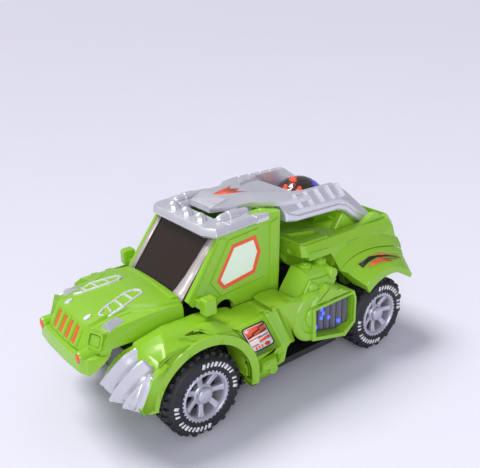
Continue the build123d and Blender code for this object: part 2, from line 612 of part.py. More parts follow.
BUMPER_OUTLINE = [
    (79, 0), (79, 26.2), (82, 26.4), (93.5, 24.4), (95.6, 21.5), (FRONT_X, 12), (FRONT_X, -12),
    (95.6, -21.5), (93.5, -24.4), (82, -26.4), (79, -26.2),
]
GRILLE_YS = (-9.0, -3.0, 3.0, 9.0)
BUMPER_LIGHT_Y, BUMPER_LIGHT_Z = 19.0, 47.6
with BuildPart() as hood:
    add(hood_loft(0, 0))
    add(hood_loft(WALL, 3), mode=Mode.SUBTRACT)
    with BuildSketch(Plane.XY.offset(40)):
        with BuildLine():
            Polyline(*BUMPER_OUTLINE, close=True)
        make_face()
    extrude(amount=11)
    with BuildSketch(Plane.XY.offset(38)):
        with BuildLine():
            Polyline(*BUMPER_OUTLINE, close=True)
        make_face()
        offset(amount=-WALL, kind=Kind.INTERSECTION, mode=Mode.REPLACE)
    extrude(amount=13.2, mode=Mode.SUBTRACT)
    add(slab([(93.4, 51), (90.0, 58.4), (88.0, 66), (110, 66), (110, 51)], -40, 40), mode=Mode.SUBTRACT)
    for y in GRILLE_YS:
        add(block(84, 110, y - 1.1, y + 1.1, 51.4, 57.0), mode=Mode.SUBTRACT)
    with BuildSketch(Plane.YZ.offset(85)):
        with Locations((BUMPER_LIGHT_Y, BUMPER_LIGHT_Z), (-BUMPER_LIGHT_Y, BUMPER_LIGHT_Z)):
            Circle(1.9)
    extrude(amount=20, mode=Mode.SUBTRACT)
    add(block(42, 46, -25, 25, 56, 57.6))
    for side in (-1, 1):
        add(block(44, 50, *sorted((side * 24.0, side * 26.6)), 51, 56.5))
keep(hood.part, "hood")

with BuildPart() as front_lights:
    add(slab([(87.6, 51.2), (88.8, 51.2), (86.6, 57), (85.4, 57)], -12, 12))
    for y in GRILLE_YS:
        add(slab([(88.0, 51.5), (92.2, 51.5), (89.8, 56.9), (86.0, 56.9)], y - 1.0, y + 1.0))
    add(block(86.6, 88.4, -21, 21, 46.5, 51.3))
    with BuildSketch(Plane.YZ.offset(87)):
        with Locations((BUMPER_LIGHT_Y, BUMPER_LIGHT_Z), (-BUMPER_LIGHT_Y, BUMPER_LIGHT_Z)):
            Circle(1.8)
    extrude(amount=8.6)
keep(front_lights.part, "front_lights")

# ---------------------------------------------------------------- cab
CAB_LEVELS = [
    (48.8, -10.3, 35.4, 28.0),
    (60.0, -11.3, 43.8, 27.6),
    (91.0, -13.6, 21.4, 25.9),
]
WINDOW_OUTLINE = [(3.6, 81.8), (1.2, 73.9), (5.2, 64.2), (23.6, 61.4), (26.7, 65.8), (16.9, 80.7)]
ROOF_LINE = [(-30, 90.6), (24, 87.2), (60, 87.2), (60, 110), (-30, 110)]


def cab_loft(inset, low_extra):
    """The cab's outer form, or with an inset its inner one."""
    with BuildPart() as made:
        for z, rear, front, half in CAB_LEVELS:
            level = z - (low_extra if z < 50 else 0)
            with BuildSketch(Plane.XY.offset(level)):
                with Locations(((rear + front) / 2, 0)):
                    Rectangle(front - rear - 2 * inset, 2 * (half - inset))
        loft(ruled=True)
    return made.part


with BuildPart() as roof_cut:
    add(slab(ROOF_LINE, -40, 40))
with BuildPart() as cab_inside:
    add(cab_loft(WALL, 2))
    under_roof = [(x, z - WALL) for x, z in ROOF_LINE[:3]] + ROOF_LINE[3:]
    add(slab(under_roof, -40, 40), mode=Mode.SUBTRACT)
with BuildPart() as cab_shell:
    add(cab_loft(0, 0))
    add(roof_cut.part, mode=Mode.SUBTRACT)
    add(cab_inside.part, mode=Mode.SUBTRACT)
    add(slab([(52, 58.6), (32, 86.2), (10, 86.2), (10, 58.6)], -24.4, 24.4), mode=Mode.SUBTRACT)
    add(block(28, 50, -25.6, 25.6, 45, 58.7), mode=Mode.SUBTRACT)
    add(block(-20, 0, -20.3, 20.3, 40, 51.5), mode=Mode.SUBTRACT)
    add(block(36, 50, -40, 40, 45, 57.0), mode=Mode.SUBTRACT)
    add(block(-20, ROOF_OPEN_X, -ROOF_OPEN_HALF, ROOF_OPEN_HALF, 54, 110), mode=Mode.SUBTRACT)
    add(slab(WINDOW_OUTLINE, -60, 60), mode=Mode.SUBTRACT)
    for side in (-1, 1):
        add(rod(24.0, 50.0, 5.4, *sorted((side * 20.0, side * 40.0))), mode=Mode.SUBTRACT)
        add(
            slab(
                [(CAB_HINGE_X - 4, 45), (CAB_HINGE_X + 4, 45), (CAB_HINGE_X + 8, 52), (CAB_HINGE_X + 8, 60),
                 (CAB_HINGE_X - 0.4, 60)],
                *sorted((side * CAB_LUG_Y0, side * CAB_LUG_Y1)),
            )
        )
        add(rod(CAB_HINGE_X, CAB_HINGE_Z, 4.0, *sorted((side * CAB_LUG_Y0, side * CAB_LUG_Y1))))
        add(block(35.0, 42.0, *sorted((side * 34.0, side * 39.0)), 56.0, 65.0))
        add(block(36.5, 40.5, *sorted((side * 26.0, side * 34.5)), 57.6, 60.4))
        add(post(-8.4, side * 18.0, 2.2, 88, 91.0))
    add(rod(CAB_HINGE_X, CAB_HINGE_Z, PIN_R + RUN_CLEAR, -30, 30), mode=Mode.SUBTRACT)
keep(cab_shell.part, "cab_shell")

with BuildPart() as windshield:
    add(slab([(45.9, 58.8), (24.4, 86.0), (22.4, 85.8), (43.2, 58.8)], -24.3, 24.3))
keep(windshield.part, "windshield")
both_sides(slab(WINDOW_OUTLINE, 25.2, 26.6), "window")

LAMP_Y, LAMP_R = 20.6, 2.2
with BuildPart() as roof_visor:
    add(
        slab(
            [(28.2, 86.4), (30.4, 87.8), (25.6, 90.6), (2, 91.2), (-4, 90.8), (-4, 89.1), (24.4, 87.2)],
            -28.0,
            28.0,
        )
    )
    add(block(-14, 16.4, -12.6, 12.6, 80, 110), mode=Mode.SUBTRACT)
    with BuildSketch(Plane.YZ.offset(3.3)):
        with Locations((LAMP_Y, 91.4), (-LAMP_Y, 91.4)):
            Circle(LAMP_R)
    extrude(amount=19.5)
    for y in (-11.4, 0, 11.4):
        with BuildSketch(Plane.XY.offset(89.6)):
            with Locations((24.0, y)):
                Circle(3.4)
        extrude(amount=4.4, taper=32)
keep(roof_visor.part, "roof_visor")

# ---------------------------------------------------------------- rear body
REAR_X = -96.5
TUB_LEVELS = [(55.0, -94.5, -26.0, 34.0), (60.0, REAR_X, -22.0, 36.0), (70.6, -92.0, -21.6, 33.0)]
SPINE_IN_Y, SPINE_OUT_Y = 18.0, 26.0
NECK_PIN_R = 2.0


def tub_loft(inset, low_shift, top_extra):
    """The tub's outer form, or with an inset the pocket in it."""
    with BuildPart() as made:
        for level, (z, rear, front, half) in enumerate(TUB_LEVELS):
            at = z + (low_shift if level == 0 else 0) + (top_extra if level == 2 else 0)
            with BuildSketch(Plane.XY.offset(at)):
                with Locations(((rear + front) / 2, 0)):
                    Rectangle(front - rear - 2 * inset, 2 * (half - inset))
                chamfer(vertices(), 5.0)
        loft(ruled=True)
    return made.part


with BuildPart() as rear_tub:
    add(tub_loft(0, 0, 0))
    add(tub_loft(WALL, WALL, 4), mode=Mode.SUBTRACT)
    for side in (-1, 1):
        add(block(-54, -24, *sorted((side * 27.6, side * 29.6)), 56, 65))
        add(block(-54, -23, *sorted((side * 27.6, side * 34.0)), 63.2, 64.8))
        add(
            slab([(-60, 50), (-52, 63.2), (-20, 63.2), (-20, 50)], *sorted((side * 29.6, side * 50))),
            mode=Mode.SUBTRACT,
        )
        add(
            slab(
                [(BODY_HINGE_X - 8, 56.5), (BODY_HINGE_X + 8, 56.5), (BODY_HINGE_X + EAR_R, BODY_HINGE_Z),
                 (BODY_HINGE_X - EAR_R, BODY_HINGE_Z)],
                *sorted((side * EAR_Y0, side * EAR_Y1)),
            )
        )
        add(rod(BODY_HINGE_X, BODY_HINGE_Z, EAR_R, *sorted((side * EAR_Y0, side * EAR_Y1))))
        add(
            slab(
                [(NECK_X - 7, 57.0), (NECK_X + 7, 57.0), (NECK_X + 3.6, NECK_Z + 3),
                 (NECK_X - 3.6, NECK_Z + 3)],
                *sorted((side * TOWER_Y0, side * TOWER_Y1)),
            )
        )
        add(rod(NECK_X, NECK_Z, NECK_PIN_R, *sorted((side * 15.0, side * 25.0))))
        add(
            slab([(-52.0, 57.0), (-52.0, 68.5), (-60.0, 77.2), (-74.5, 65.6), (-74.5, 57.0)],
                 *sorted((side * 22.0, side * 25.4)))
        )
    add(rod(BODY_HINGE_X, BODY_HINGE_Z, PIN_R + RUN_CLEAR, -30, 30), mode=Mode.SUBTRACT)
    add(block(-68, -34, -17.5, 17.5, 64, 75), mode=Mode.SUBTRACT)
keep(rear_tub.part, "rear_tub")

REAR_FENDER_OUTLINE = [
    (-39.4, 61.0), (-47, 63.4), (-65, 63.0), (-86, 57.2), (REAR_X, 50.5), (-96.0, 39.0), (-92.5, 37.0),
    (-84.5, 43.4), (-66, 49.2), (-60.2, 47.6), (-57.2, 42.4), (-50.0, 48.2), (-41.6, 55.6),
]
with BuildPart() as left_rear_fender:
    add(shell(REAR_FENDER_OUTLINE, 36.4, SIDE_OUT_Y + 0.8, 1.6))
both_sides(left_rear_fender.part, "rear_fender")

# ---------------------------------------------------------------- spine, dome, head and jaw
WEDGE_PROFILE = [
    (16, 92.0), (16, 93.8), (9, 97.4), (-9, 97.4), (-26, 94.8), (-34, 94.6), (-34, 91.0), (-14, 91.6),
]
WEDGE_HALF_PLAN = [(16, 8.5), (8, 14), (-2, 18), (-14, 24), (-25, SPINE_OUT_Y), (-34, SPINE_OUT_Y)]
ARM_PROFILE = [
    (-16, 84), (-13.4, 91.0), (-24, 94.8), (-56, 94.6), (-64, 88.6), (-86.2, 70.4), (-87.6, 66.2),
    (-84, 62.8), (-79, 64.0), (-57, 81.6), (-24, 82.4),
]
with BuildPart() as wedge:
    with BuildSketch(Plane.XY.offset(85)):
        with BuildLine():
            Polyline(*WEDGE_HALF_PLAN, *[(x, -y) for x, y in reversed(WEDGE_HALF_PLAN)], close=True)
        make_face()
    extrude(amount=20)
    add(slab(WEDGE_PROFILE, -40, 40), mode=Mode.INTERSECT)
with BuildPart() as spine_frame:
    for side in (-1, 1):
        add(slab(ARM_PROFILE, *sorted((side * SPINE_IN_Y, side * SPINE_OUT_Y))))
        add(slab([(-11, 92), (-2, 92), (-3.3, HEAD_Z), (-9.7, HEAD_Z)], *sorted((side * FORK_Y0, side * FORK_Y1))))
        add(rod(HEAD_X, HEAD_Z, HEAD_HUB_R, *sorted((side * FORK_Y0, side * FORK_Y1))))
    add(wedge.part)
    add(block(-68, -31, -SPINE_IN_Y, SPINE_IN_Y, 82.6, DOME_SEAT_Z))
    add(block(-34, -31, -SPINE_IN_Y, SPINE_IN_Y, 82.6, 92))
    add(post(DOME_X, 0, 9.0, 80, 90), mode=Mode.SUBTRACT)
    add(rod(HEAD_X, HEAD_Z, PIN_R, -FORK_Y1, FORK_Y1))
    add(rod(NECK_X, NECK_Z, NECK_PIN_R + RUN_CLEAR, -26, 26), mode=Mode.SUBTRACT)
    for side in (-1, 1):
        for k in range(4):
            add(
                block(-31.2 - 7.2 * k, -30.0 - 7.2 * k, *sorted((side * 20.0, side * 27.0)), 92.6, 96),
                mode=Mode.SUBTRACT,
            )
keep(spine_frame.part, "spine_frame")

with BuildPart() as dome:
    with BuildSketch(Plane.XZ):
        with Locations((DOME_X, DOME_Z)):
            Circle(DOME_R)
            Circle(DOME_R - 1.4, mode=Mode.SUBTRACT)
        with Locations((DOME_X - 25, DOME_Z)):
            Rectangle(50, 60, mode=Mode.SUBTRACT)
        with Locations((DOME_X, DOME_SEAT_Z - 25)):
            Rectangle(60, 50, mode=Mode.SUBTRACT)
    revolve(axis=Axis((DOME_X, 0, 0), (0, 0, 1)))
keep(dome.part, "dome")

with BuildPart() as dome_lights:
    add(post(DOME_X, 0, 11.5, DOME_SEAT_Z, DOME_SEAT_Z + 1.4))
    for x, y in ((5.0, 4.5), (-4.5, 3.0), (1.0, -6.0)):
        add(post(DOME_X + x, y, 2.0, DOME_SEAT_Z + 1.4, DOME_SEAT_Z + 4.8))
keep(dome_lights.part, "dome_lights")

HEAD_HALF, SNOUT_HALF = 9.6, 5.6
SKULL_PROFILE = [
    (-13, 74), (-11.5, 77.2), (-3, 78.4), (2, 80.8), (6, 80.2), (15.6, 76.0), (16.2, 73.4), (13, 71.8),
    (-1.6, 71.8), (-3, 66), (-8.6, 65.4), (-13, 69),
]
with BuildPart() as head:
    with BuildSketch(Plane.XY.offset(60)):
        with BuildLine():
            Polyline(
                (-13, HEAD_HALF), (0, HEAD_HALF), (16.2, SNOUT_HALF),
                (16.2, -SNOUT_HALF), (0, -HEAD_HALF), (-13, -HEAD_HALF), close=True,
            )
        make_face()
    extrude(amount=30)
    add(slab(SKULL_PROFILE, -20, 20), mode=Mode.INTERSECT)
    add(slab([(-14, 71.6), (-1.2, 71.6), (-1.2, 60), (-14, 60)], -6.6, 6.6), mode=Mode.SUBTRACT)
    add(slab([(-9.7, HEAD_Z), (-3.3, HEAD_Z), (-2.6, 77), (-10.4, 77)], -4.8, 4.8))
    add(rod(HEAD_X, HEAD_Z, HEAD_HUB_R, -4.8, 4.8))
    add(rod(HEAD_X, HEAD_Z, PIN_R + RUN_CLEAR, -10, 10), mode=Mode.SUBTRACT)
    add(rod(JAW_X, JAW_Z, JAW_PIN_R + RUN_CLEAR, -20, 20), mode=Mode.SUBTRACT)
keep(head.part, "head")

with BuildPart() as jaw:
    with BuildSketch(Plane.XY.offset(55)):
        with BuildLine():
            Polyline((-9, 6.2), (2, 6.2), (14.2, 4.4), (14.2, -4.4), (2, -6.2), (-9, -6.2), close=True)
        make_face()
    extrude(amount=30)
    profile = [(-2, 71.3), (13.6, 71.3), (14.2, 69.4), (6, 66), (-4, 64.6), (-8.6, 67.5), (-8, 70.6)]
    add(slab(profile, -20, 20), mode=Mode.INTERSECT)
    add(rod(JAW_X, JAW_Z, JAW_PIN_R, -9.0, 9.0))
keep(jaw.part, "jaw")
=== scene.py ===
"""Looks of the transforming robot car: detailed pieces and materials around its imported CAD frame.

Forms are built in millimetres in the frame of the CAD model (+X to the front, +Y to the car's left, +Z up) and
become metres when a piece is made. A left-hand form is mirrored for its right-hand twin.
"""

from math import cos, hypot, radians, sin, tau

import bmesh
import bpy
from mathutils import Matrix, Vector


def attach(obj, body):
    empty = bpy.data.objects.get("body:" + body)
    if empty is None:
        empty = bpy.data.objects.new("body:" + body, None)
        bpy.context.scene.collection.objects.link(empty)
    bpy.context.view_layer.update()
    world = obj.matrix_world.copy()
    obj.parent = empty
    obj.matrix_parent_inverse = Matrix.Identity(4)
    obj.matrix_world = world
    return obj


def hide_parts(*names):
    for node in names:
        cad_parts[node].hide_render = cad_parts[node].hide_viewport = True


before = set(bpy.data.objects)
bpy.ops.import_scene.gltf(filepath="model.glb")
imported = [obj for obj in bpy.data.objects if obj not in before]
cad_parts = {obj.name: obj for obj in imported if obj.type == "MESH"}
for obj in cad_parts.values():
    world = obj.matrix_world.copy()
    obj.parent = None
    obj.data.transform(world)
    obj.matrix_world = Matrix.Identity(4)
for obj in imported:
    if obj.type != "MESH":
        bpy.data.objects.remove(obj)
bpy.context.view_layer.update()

MM = 0.001
FRONT_AXLE_X, REAR_AXLE_X, AXLE_Z = 48.0, -70.0, 21.0
TYRE_R, RIM_R = 21.0, 12.6
WHEEL_IN_Y, WHEEL_OUT_Y = 30.5, 45.5
# pivots, as (x, z)
KNEE = (-19.0, 38.5)
BODY_HINGE = (-70.0, 35.0)
NECK_PIN = (-82.5, 67.5)
HEAD_PIVOT = (-6.5, 82.0)
JAW_PIVOT = (-5.5, 69.5)

SPOKES = 7
LUGS = 30
FLANGE_TEETH = 36
DEGREES_PER_RADIAN = 57.3


# ---------------------------------------------------------------- outlines
def arc(centre, radius, start, end, count):
    """Points of an arc between two angles in degrees."""
    angles = [radians(start + (end - start) * k / (count - 1)) for k in range(count)]
    return [(centre[0] + radius * cos(a), centre[1] + radius * sin(a)) for a in angles]


def shrink(outline, amount):
    """The outline moved inwards by amount, with mitred corners."""
    count = len(outline)
    area = sum(outline[k - 1][0] * outline[k][1] - outline[k][0] * outline[k - 1][1] for k in range(count))
    turn = 1 if area > 0 else -1
    moved = []
    for k in range(count):
        (ax, ay), (bx, by), (cx, cy) = outline[k - 1], outline[k], outline[(k + 1) % count]
        first, second = hypot(bx - ax, by - ay) or 1, hypot(cx - bx, cy - by) or 1
        n0 = (-(by - ay) / first * turn, (bx - ax) / first * turn)
        n1 = (-(cy - by) / second * turn, (cx - bx) / second * turn)
        reach = amount / max(0.4, 1 + n0[0] * n1[0] + n0[1] * n1[1])
        moved.append((bx + (n0[0] + n1[0]) * reach, by + (n0[1] + n1[1]) * reach))
    return moved


def place(axis, point, at):
    """A point of a flat outline, put at a distance along the axis square to it."""
    u, v = point
    return {"x": (at, u, v), "y": (u, at, v), "z": (u, v, at)}[axis]


def rounded(low, high, radius, steps=5):
    """A rectangle with rounded corners."""
    corners = [
        ((high[0] - radius, high[1] - radius), 0), ((low[0] + radius, high[1] - radius), 90),
        ((low[0] + radius, low[1] + radius), 180), ((high[0] - radius, low[1] + radius), 270),
    ]
    return [p for centre, start in corners for p in arc(centre, radius, start, start + 90, steps)]


def smooth_line(points, steps=4):
    """A curve through the points, with so many steps between each two."""
    line = [Vector(p) for p in points]
    line = [line[0] * 2 - line[1], *line, line[-1] * 2 - line[-2]]
    curve = []
    for a, b, c, d in zip(line, line[1:], line[2:], line[3:]):
        for t in (k / steps for k in range(steps)):
            bend, twist = a * 2 - b * 5 + c * 4 - d, b * 3 - a - c * 3 + d
            curve.append((b * 2 + (c - a) * t + bend * t**2 + twist * t**3) / 2)
    return [*curve, line[-2]]


# ---------------------------------------------------------------- forms
class Form:
    """Closed forms in millimetres that together make one moulded piece."""

    def __init__(self):
        self.verts, self.faces = [], []

    def rings(self, rows, closed=False):
        """A skin through rings of as many points each, capped at both ends, or joined into a loop."""
        start, count = len(self.verts), len(rows[0])
        self.verts += [tuple(p) for row in rows for p in row]
        for r in range(len(rows) if closed else len(rows) - 1):
            near, far = start + r * count, start + (r + 1) % len(rows) * count
            for k in range(count):
                nxt = (k + 1) % count
                self.faces.append((near + k, near + nxt, far + nxt, far + k))
        if not closed:
            last = start + (len(rows) - 1) * count
            self.faces.append(tuple(start + k for k in reversed(range(count))))
            self.faces.append(tuple(last + k for k in range(count)))
        return self

    def stack(self, axis, outline, stops):
        """An outline carried along an axis through stops (distance, how far it has shrunk there)."""
        return self.rings([[place(axis, p, at) for p in shrink(outline, inset)] for at, inset in stops])

    def block(self, low, high):
        """A box between two corners."""
        outline = [(low[0], low[1]), (high[0], low[1]), (high[0], high[1]), (low[0], high[1])]
        return self.stack("z", outline, [(low[2], 0.0), (high[2], 0.0)])

    def rod(self, axis, centre, stops, steps=40, start=0.0):
        """A round bar along an axis through stops (distance, radius)."""
        angles = [radians(start + 360 * k / steps) for k in range(steps)]
        return self.rings([[place(axis, (centre[0] + radius * cos(a), centre[1] + radius * sin(a)), at)
                            for a in angles] for at, radius in stops])

    def band(self, axis, outer, inner, low, high):
        """A frame between an outer and an inner outline of as many points."""
        rows = [(outer, low), (outer, high), (inner, high), (inner, low)]
        return self.rings([[place(axis, p, at) for p in line] for line, at in rows], closed=True)

    def turned(self, centre, profile, steps):
        """A closed profile of (radius, y) turned about the Y axis through centre (x, z)."""
        rows = []
        for k in range(steps):
            a = tau * k / steps
            rows.append([(centre[0] + r * cos(a), y, centre[1] + r * sin(a)) for r, y in profile])
        return self.rings(rows, closed=True)

    def sector(self, centre, angle, half, y0, y1, r0, r1, shrunk=0.0):
        """A block on a wheel: between two radii, two y values and half an angle each side of the middle."""
        rows = []
        for r, less in ((r0, 0.0), (r1, shrunk)):
            spread = half - less / r1 * DEGREES_PER_RADIAN
            corners = [(angle - spread, y0 + less), (angle + spread, y0 + less), (angle + spread, y1 - less),
                       (angle - spread, y1 - less)]
            rows.append([(centre[0] + r * cos(radians(a)), y, centre[1] + r * sin(radians(a))) for a, y in corners])
        return self.rings(rows)

    def bar(self, a, b, width, height, up=(0, 0, 1), sink=0.3, narrow=1.0):
        """A straight rib from a to b that stands up by height, and is sunk a little at its foot."""
        a, b, up = Vector(a), Vector(b), Vector(up).normalized()
        side = (b - a).normalized().cross(up).normalized()
        rows = []
        for level, half in ((-sink, width / 2), (height, width / 2 * narrow)):
            trim = (b - a).normalized() * (width / 2 - half)
            rows.append([a + side * half + up * level + trim, b + side * half + up * level - trim,
                         b - side * half + up * level - trim, a - side * half + up * level + trim])
        return self.rings(rows)

    def mirrored(self):
        """The same form on the car's other side."""
        twin = Form()
        twin.verts = [(x, -y, z) for x, y, z in self.verts]
        twin.faces = list(self.faces)
        return twin

    def join(self, other):
        """Takes in another form."""
        count = len(self.verts)
        self.verts += other.verts
        self.faces += [tuple(count + i for i in face) for face in other.faces]
        return self

    def both(self):
        """The form together with its mirror image."""
        return self.join(self.mirrored())


def mesh_of(form, name):
    """A clean mesh in metres, with all its normals pointing out."""
    mesh = bpy.data.meshes.new(name)
    mesh.from_pydata([(x * MM, y * MM, z * MM) for x, y, z in form.verts], [], form.faces)
    work = bmesh.new()
    work.from_mesh(mesh)
    bmesh.ops.remove_doubles(work, verts=work.verts, dist=2e-6)
    bmesh.ops.dissolve_degenerate(work, edges=work.edges, dist=1e-6)
    bmesh.ops.recalc_face_normals(work, faces=work.faces)
    for face in work.faces:
        face.smooth = True
    work.to_mesh(mesh)
    work.free()
    return mesh


def cut_away(obj, form):
    """Takes a form out of an object's mesh, and joins the object's own forms into one skin."""
    cutter = bpy.data.objects.new("cutter", mesh_of(form, "cutter"))
    bpy.context.scene.collection.objects.link(cutter)
    cut = obj.modifiers.new("cut", "BOOLEAN")
    cut.operation, cut.solver, cut.use_self, cut.object = "DIFFERENCE", "EXACT", True, cutter
    solid = bpy.data.meshes.new_from_object(obj.evaluated_get(bpy.context.evaluated_depsgraph_get()))
    obj.modifiers.remove(cut)
    bpy.data.objects.remove(cutter)
    work = bmesh.new()
    work.from_mesh(solid)
    bmesh.ops.remove_doubles(work, verts=work.verts, dist=5e-6)
    bmesh.ops.dissolve_limit(work, angle_limit=radians(1.0), verts=work.verts, edges=work.edges)
    for face in work.faces:
        face.smooth = True
    work.to_mesh(solid)
    work.free()
    obj.data = solid


def piece(name, form, body, finish, stands_for=(), bevel=0.5, cuts=(), angle=30):
    """Makes a visible piece that rides on a body and stands for the CAD nodes named."""
    obj = bpy.data.objects.new(name, mesh_of(form, name))
    bpy.context.scene.collection.objects.link(obj)
    for cut in cuts:
        cut_away(obj, cut)
    obj.data.materials.clear()
    obj.data.materials.append(FINISHES[finish])
    if bevel:
        soft = obj.modifiers.new("round", "BEVEL")
        soft.width, soft.segments, soft.limit_method = bevel * MM, 3, "ANGLE"
        soft.angle_limit = radians(angle)
        even = obj.modifiers.new("normals", "WEIGHTED_NORMAL")
        even.keep_sharp = False
    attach(obj, body)
    if stands_for:
        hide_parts(*stands_for)
    return obj


def pair(name, form, body, finish, stands_for=(), bevel=0.5, cuts=()):
    """Makes a left-hand piece and its mirror image. A name or body with {} in it takes the side."""
    for side in ("left", "right"):
        shape, taken = (form, cuts) if side == "left" else (form.mirrored(), [c.mirrored() for c in cuts])
        nodes = [n.format(side) for n in stands_for]
        piece(f"{side}_{name}", shape, body.format(side), finish, nodes, bevel, taken)


# ---------------------------------------------------------------- materials
def make_finish(name, colour, rough, metal=0.0, coat=0.0, vary=0.05, patch=35.0, grain=2200.0, bump=0.03,
                sheen_rough=0.06, glow=0.0, clear=0.0):
    """A moulded surface: patchy colour, uneven gloss and a fine grain. Glow lights it, clear lets light through."""
    made = bpy.data.materials.new(name)
    made.use_nodes = True
    tree = made.node_tree
    shader = tree.nodes["Principled BSDF"]
    where = tree.nodes.new("ShaderNodeTexCoord")

    def noise(scale, detail):
        node = tree.nodes.new("ShaderNodeTexNoise")
        node.inputs["Scale"].default_value = scale
        node.inputs["Detail"].default_value = detail
        tree.links.new(where.outputs["Object"], node.inputs["Vector"])
        return node

    tone = tree.nodes.new("ShaderNodeMix")
    tone.data_type = "RGBA"
    tone.inputs["A"].default_value = (*[c * (1 - vary) for c in colour], 1)
    tone.inputs["B"].default_value = (*[min(1.0, c * (1 + vary)) for c in colour], 1)
    tree.links.new(noise(patch, 3).outputs["Fac"], tone.inputs["Factor"])
    tree.links.new(tone.outputs["Result"], shader.inputs["Base Color"])
    gloss = tree.nodes.new("ShaderNodeMapRange")
    gloss.inputs["From Min"].default_value, gloss.inputs["From Max"].default_value = 0.3, 0.7
    gloss.inputs["To Min"].default_value = rough - sheen_rough
    gloss.inputs["To Max"].default_value = rough + sheen_rough
    tree.links.new(noise(patch * 6, 4).outputs["Fac"], gloss.inputs["Value"])
    tree.links.new(gloss.outputs["Result"], shader.inputs["Roughness"])
    dent = tree.nodes.new("ShaderNodeBump")
    dent.inputs["Strength"].default_value = bump
    dent.inputs["Distance"].default_value = 0.0004
    tree.links.new(noise(grain, 2).outputs["Fac"], dent.inputs["Height"])
    tree.links.new(dent.outputs["Normal"], shader.inputs["Normal"])
    shader.inputs["Metallic"].default_value = metal
    shader.inputs["Coat Weight"].default_value = coat
    shader.inputs["Coat Roughness"].default_value = 0.12
    shader.inputs["Transmission Weight"].default_value = clear
    if glow:
        shader.inputs["Emission Color"].default_value = (*colour, 1)
        shader.inputs["Emission Strength"].default_value = glow
    return made


FINISHES = {
    "green": make_finish("lime_plastic", (0.265, 0.545, 0.018), 0.34, coat=0.30),
    "silver": make_finish("silver_paint", (0.70, 0.70, 0.76), 0.32, metal=0.5, coat=0.3, vary=0.04, grain=1800.0,
                          bump=0.006),
    "claw": make_finish("claw_silver", (0.62, 0.62, 0.68), 0.30, metal=0.45, coat=0.2, vary=0.02, bump=0.0),
    # a lighter copy of the silver paint: on the spine's fins it is painted highlight for the light they catch; the
    # hood's vents take it as their silver paint
    "bright": make_finish("pale_silver_paint_and_painted_highlight", (0.80, 0.80, 0.87), 0.32, metal=0.35, coat=0.4, vary=0.03,
                          grain=1800.0, bump=0.006),
    "chrome_rim": make_finish("rim_silver", (0.55, 0.55, 0.64), 0.34, metal=0.55, coat=0.3, vary=0.05, grain=4000.0,
                              bump=0.05),
    "tyre": make_finish("black_rubber", (0.012, 0.012, 0.018), 0.55, vary=0.25, grain=3000.0, bump=0.10),
    "tyre_mark": make_finish("white_tyre_print", (0.80, 0.80, 0.84), 0.55, vary=0.04),
    "black": make_finish("black_plastic", (0.010, 0.010, 0.012), 0.42, coat=0.15, vary=0.2, bump=0.05),
    "smoke": make_finish("smoked_plastic", (0.024, 0.014, 0.008), 0.24, coat=0.1, vary=0.10, patch=20.0, bump=0.0,
                         sheen_rough=0.03),
    "lens": make_finish("grey_lens", (0.075, 0.080, 0.115), 0.22, coat=0.6, vary=0.25, patch=90.0, bump=0.02),
    "dome": make_finish("smoked_dome", (0.11, 0.07, 0.07), 0.08, coat=0.6, vary=0.06, bump=0.0, clear=0.80,
                        sheen_rough=0.02),
    "mint": make_finish("mint_window", (0.78, 0.93, 0.74), 0.40, coat=0.2, vary=0.06),
    "orange": make_finish("orange_print", (0.85, 0.095, 0.022), 0.42, coat=0.2, vary=0.06),
    "red": make_finish("red_print", (0.62, 0.02, 0.01), 0.42, coat=0.2, vary=0.06),
    "ink": make_finish("black_print", (0.016, 0.013, 0.014), 0.45, vary=0.2),
    "paper": make_finish("white_print", (0.82, 0.82, 0.82), 0.45, coat=0.2, vary=0.03),
    # pale pinkish colour painted down the windshield's sides, standing for reflected light
    "painted_reflection": make_finish("windshield_painted_reflection", (0.60, 0.52, 0.52), 0.34, metal=0.1, coat=0.3, vary=0.14, patch=55.0),
    "steel": make_finish("steel", (0.50, 0.50, 0.52), 0.28, metal=1.0, vary=0.06, grain=6000.0),
    "board": make_finish("board_laminate", (0.02, 0.14, 0.04), 0.45, vary=0.2),
    "cell": make_finish("cell_sleeve", (0.10, 0.16, 0.42), 0.30, coat=0.4, vary=0.05),
    "white_plastic": make_finish("white_plastic", (0.74, 0.74, 0.72), 0.40, coat=0.2, vary=0.03),
    "blue_glow": make_finish("blue_led", (0.03, 0.06, 1.0), 0.30, glow=3.5),
    "red_glow": make_finish("red_led", (1.0, 0.10, 0.02), 0.30, glow=4.5),
}
# CAD nodes that stay visible as they are
NODE_FINISHES = {
    "steel": ["front_axle", "rear_axle", "lid_screws", "battery_door_screw", "battery_contacts", "drive_shaft",
              "drive_motor", "lift_motor", "body_hinge_pin", "cab_hinge_pin", "left_knee_pin", "right_knee_pin"],
    "black": ["chassis_tray", "chassis_lid", "battery_door", "switch_case", "power_switch_knob", "swivel_plate",
              "swivel_ring", "gearbox_case", "speaker"],
    "white_plastic": ["lift_pinion", "lift_sector"],
    "tyre": ["drive_left_wheel", "drive_right_wheel"],
    "board": ["circuit_board"],
    "cell": ["batteries"],
}
for finish_name, node_names in NODE_FINISHES.items():
    for node_name in node_names:
        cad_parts[node_name].data.materials.clear()
        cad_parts[node_name].data.materials.append(FINISHES[finish_name])


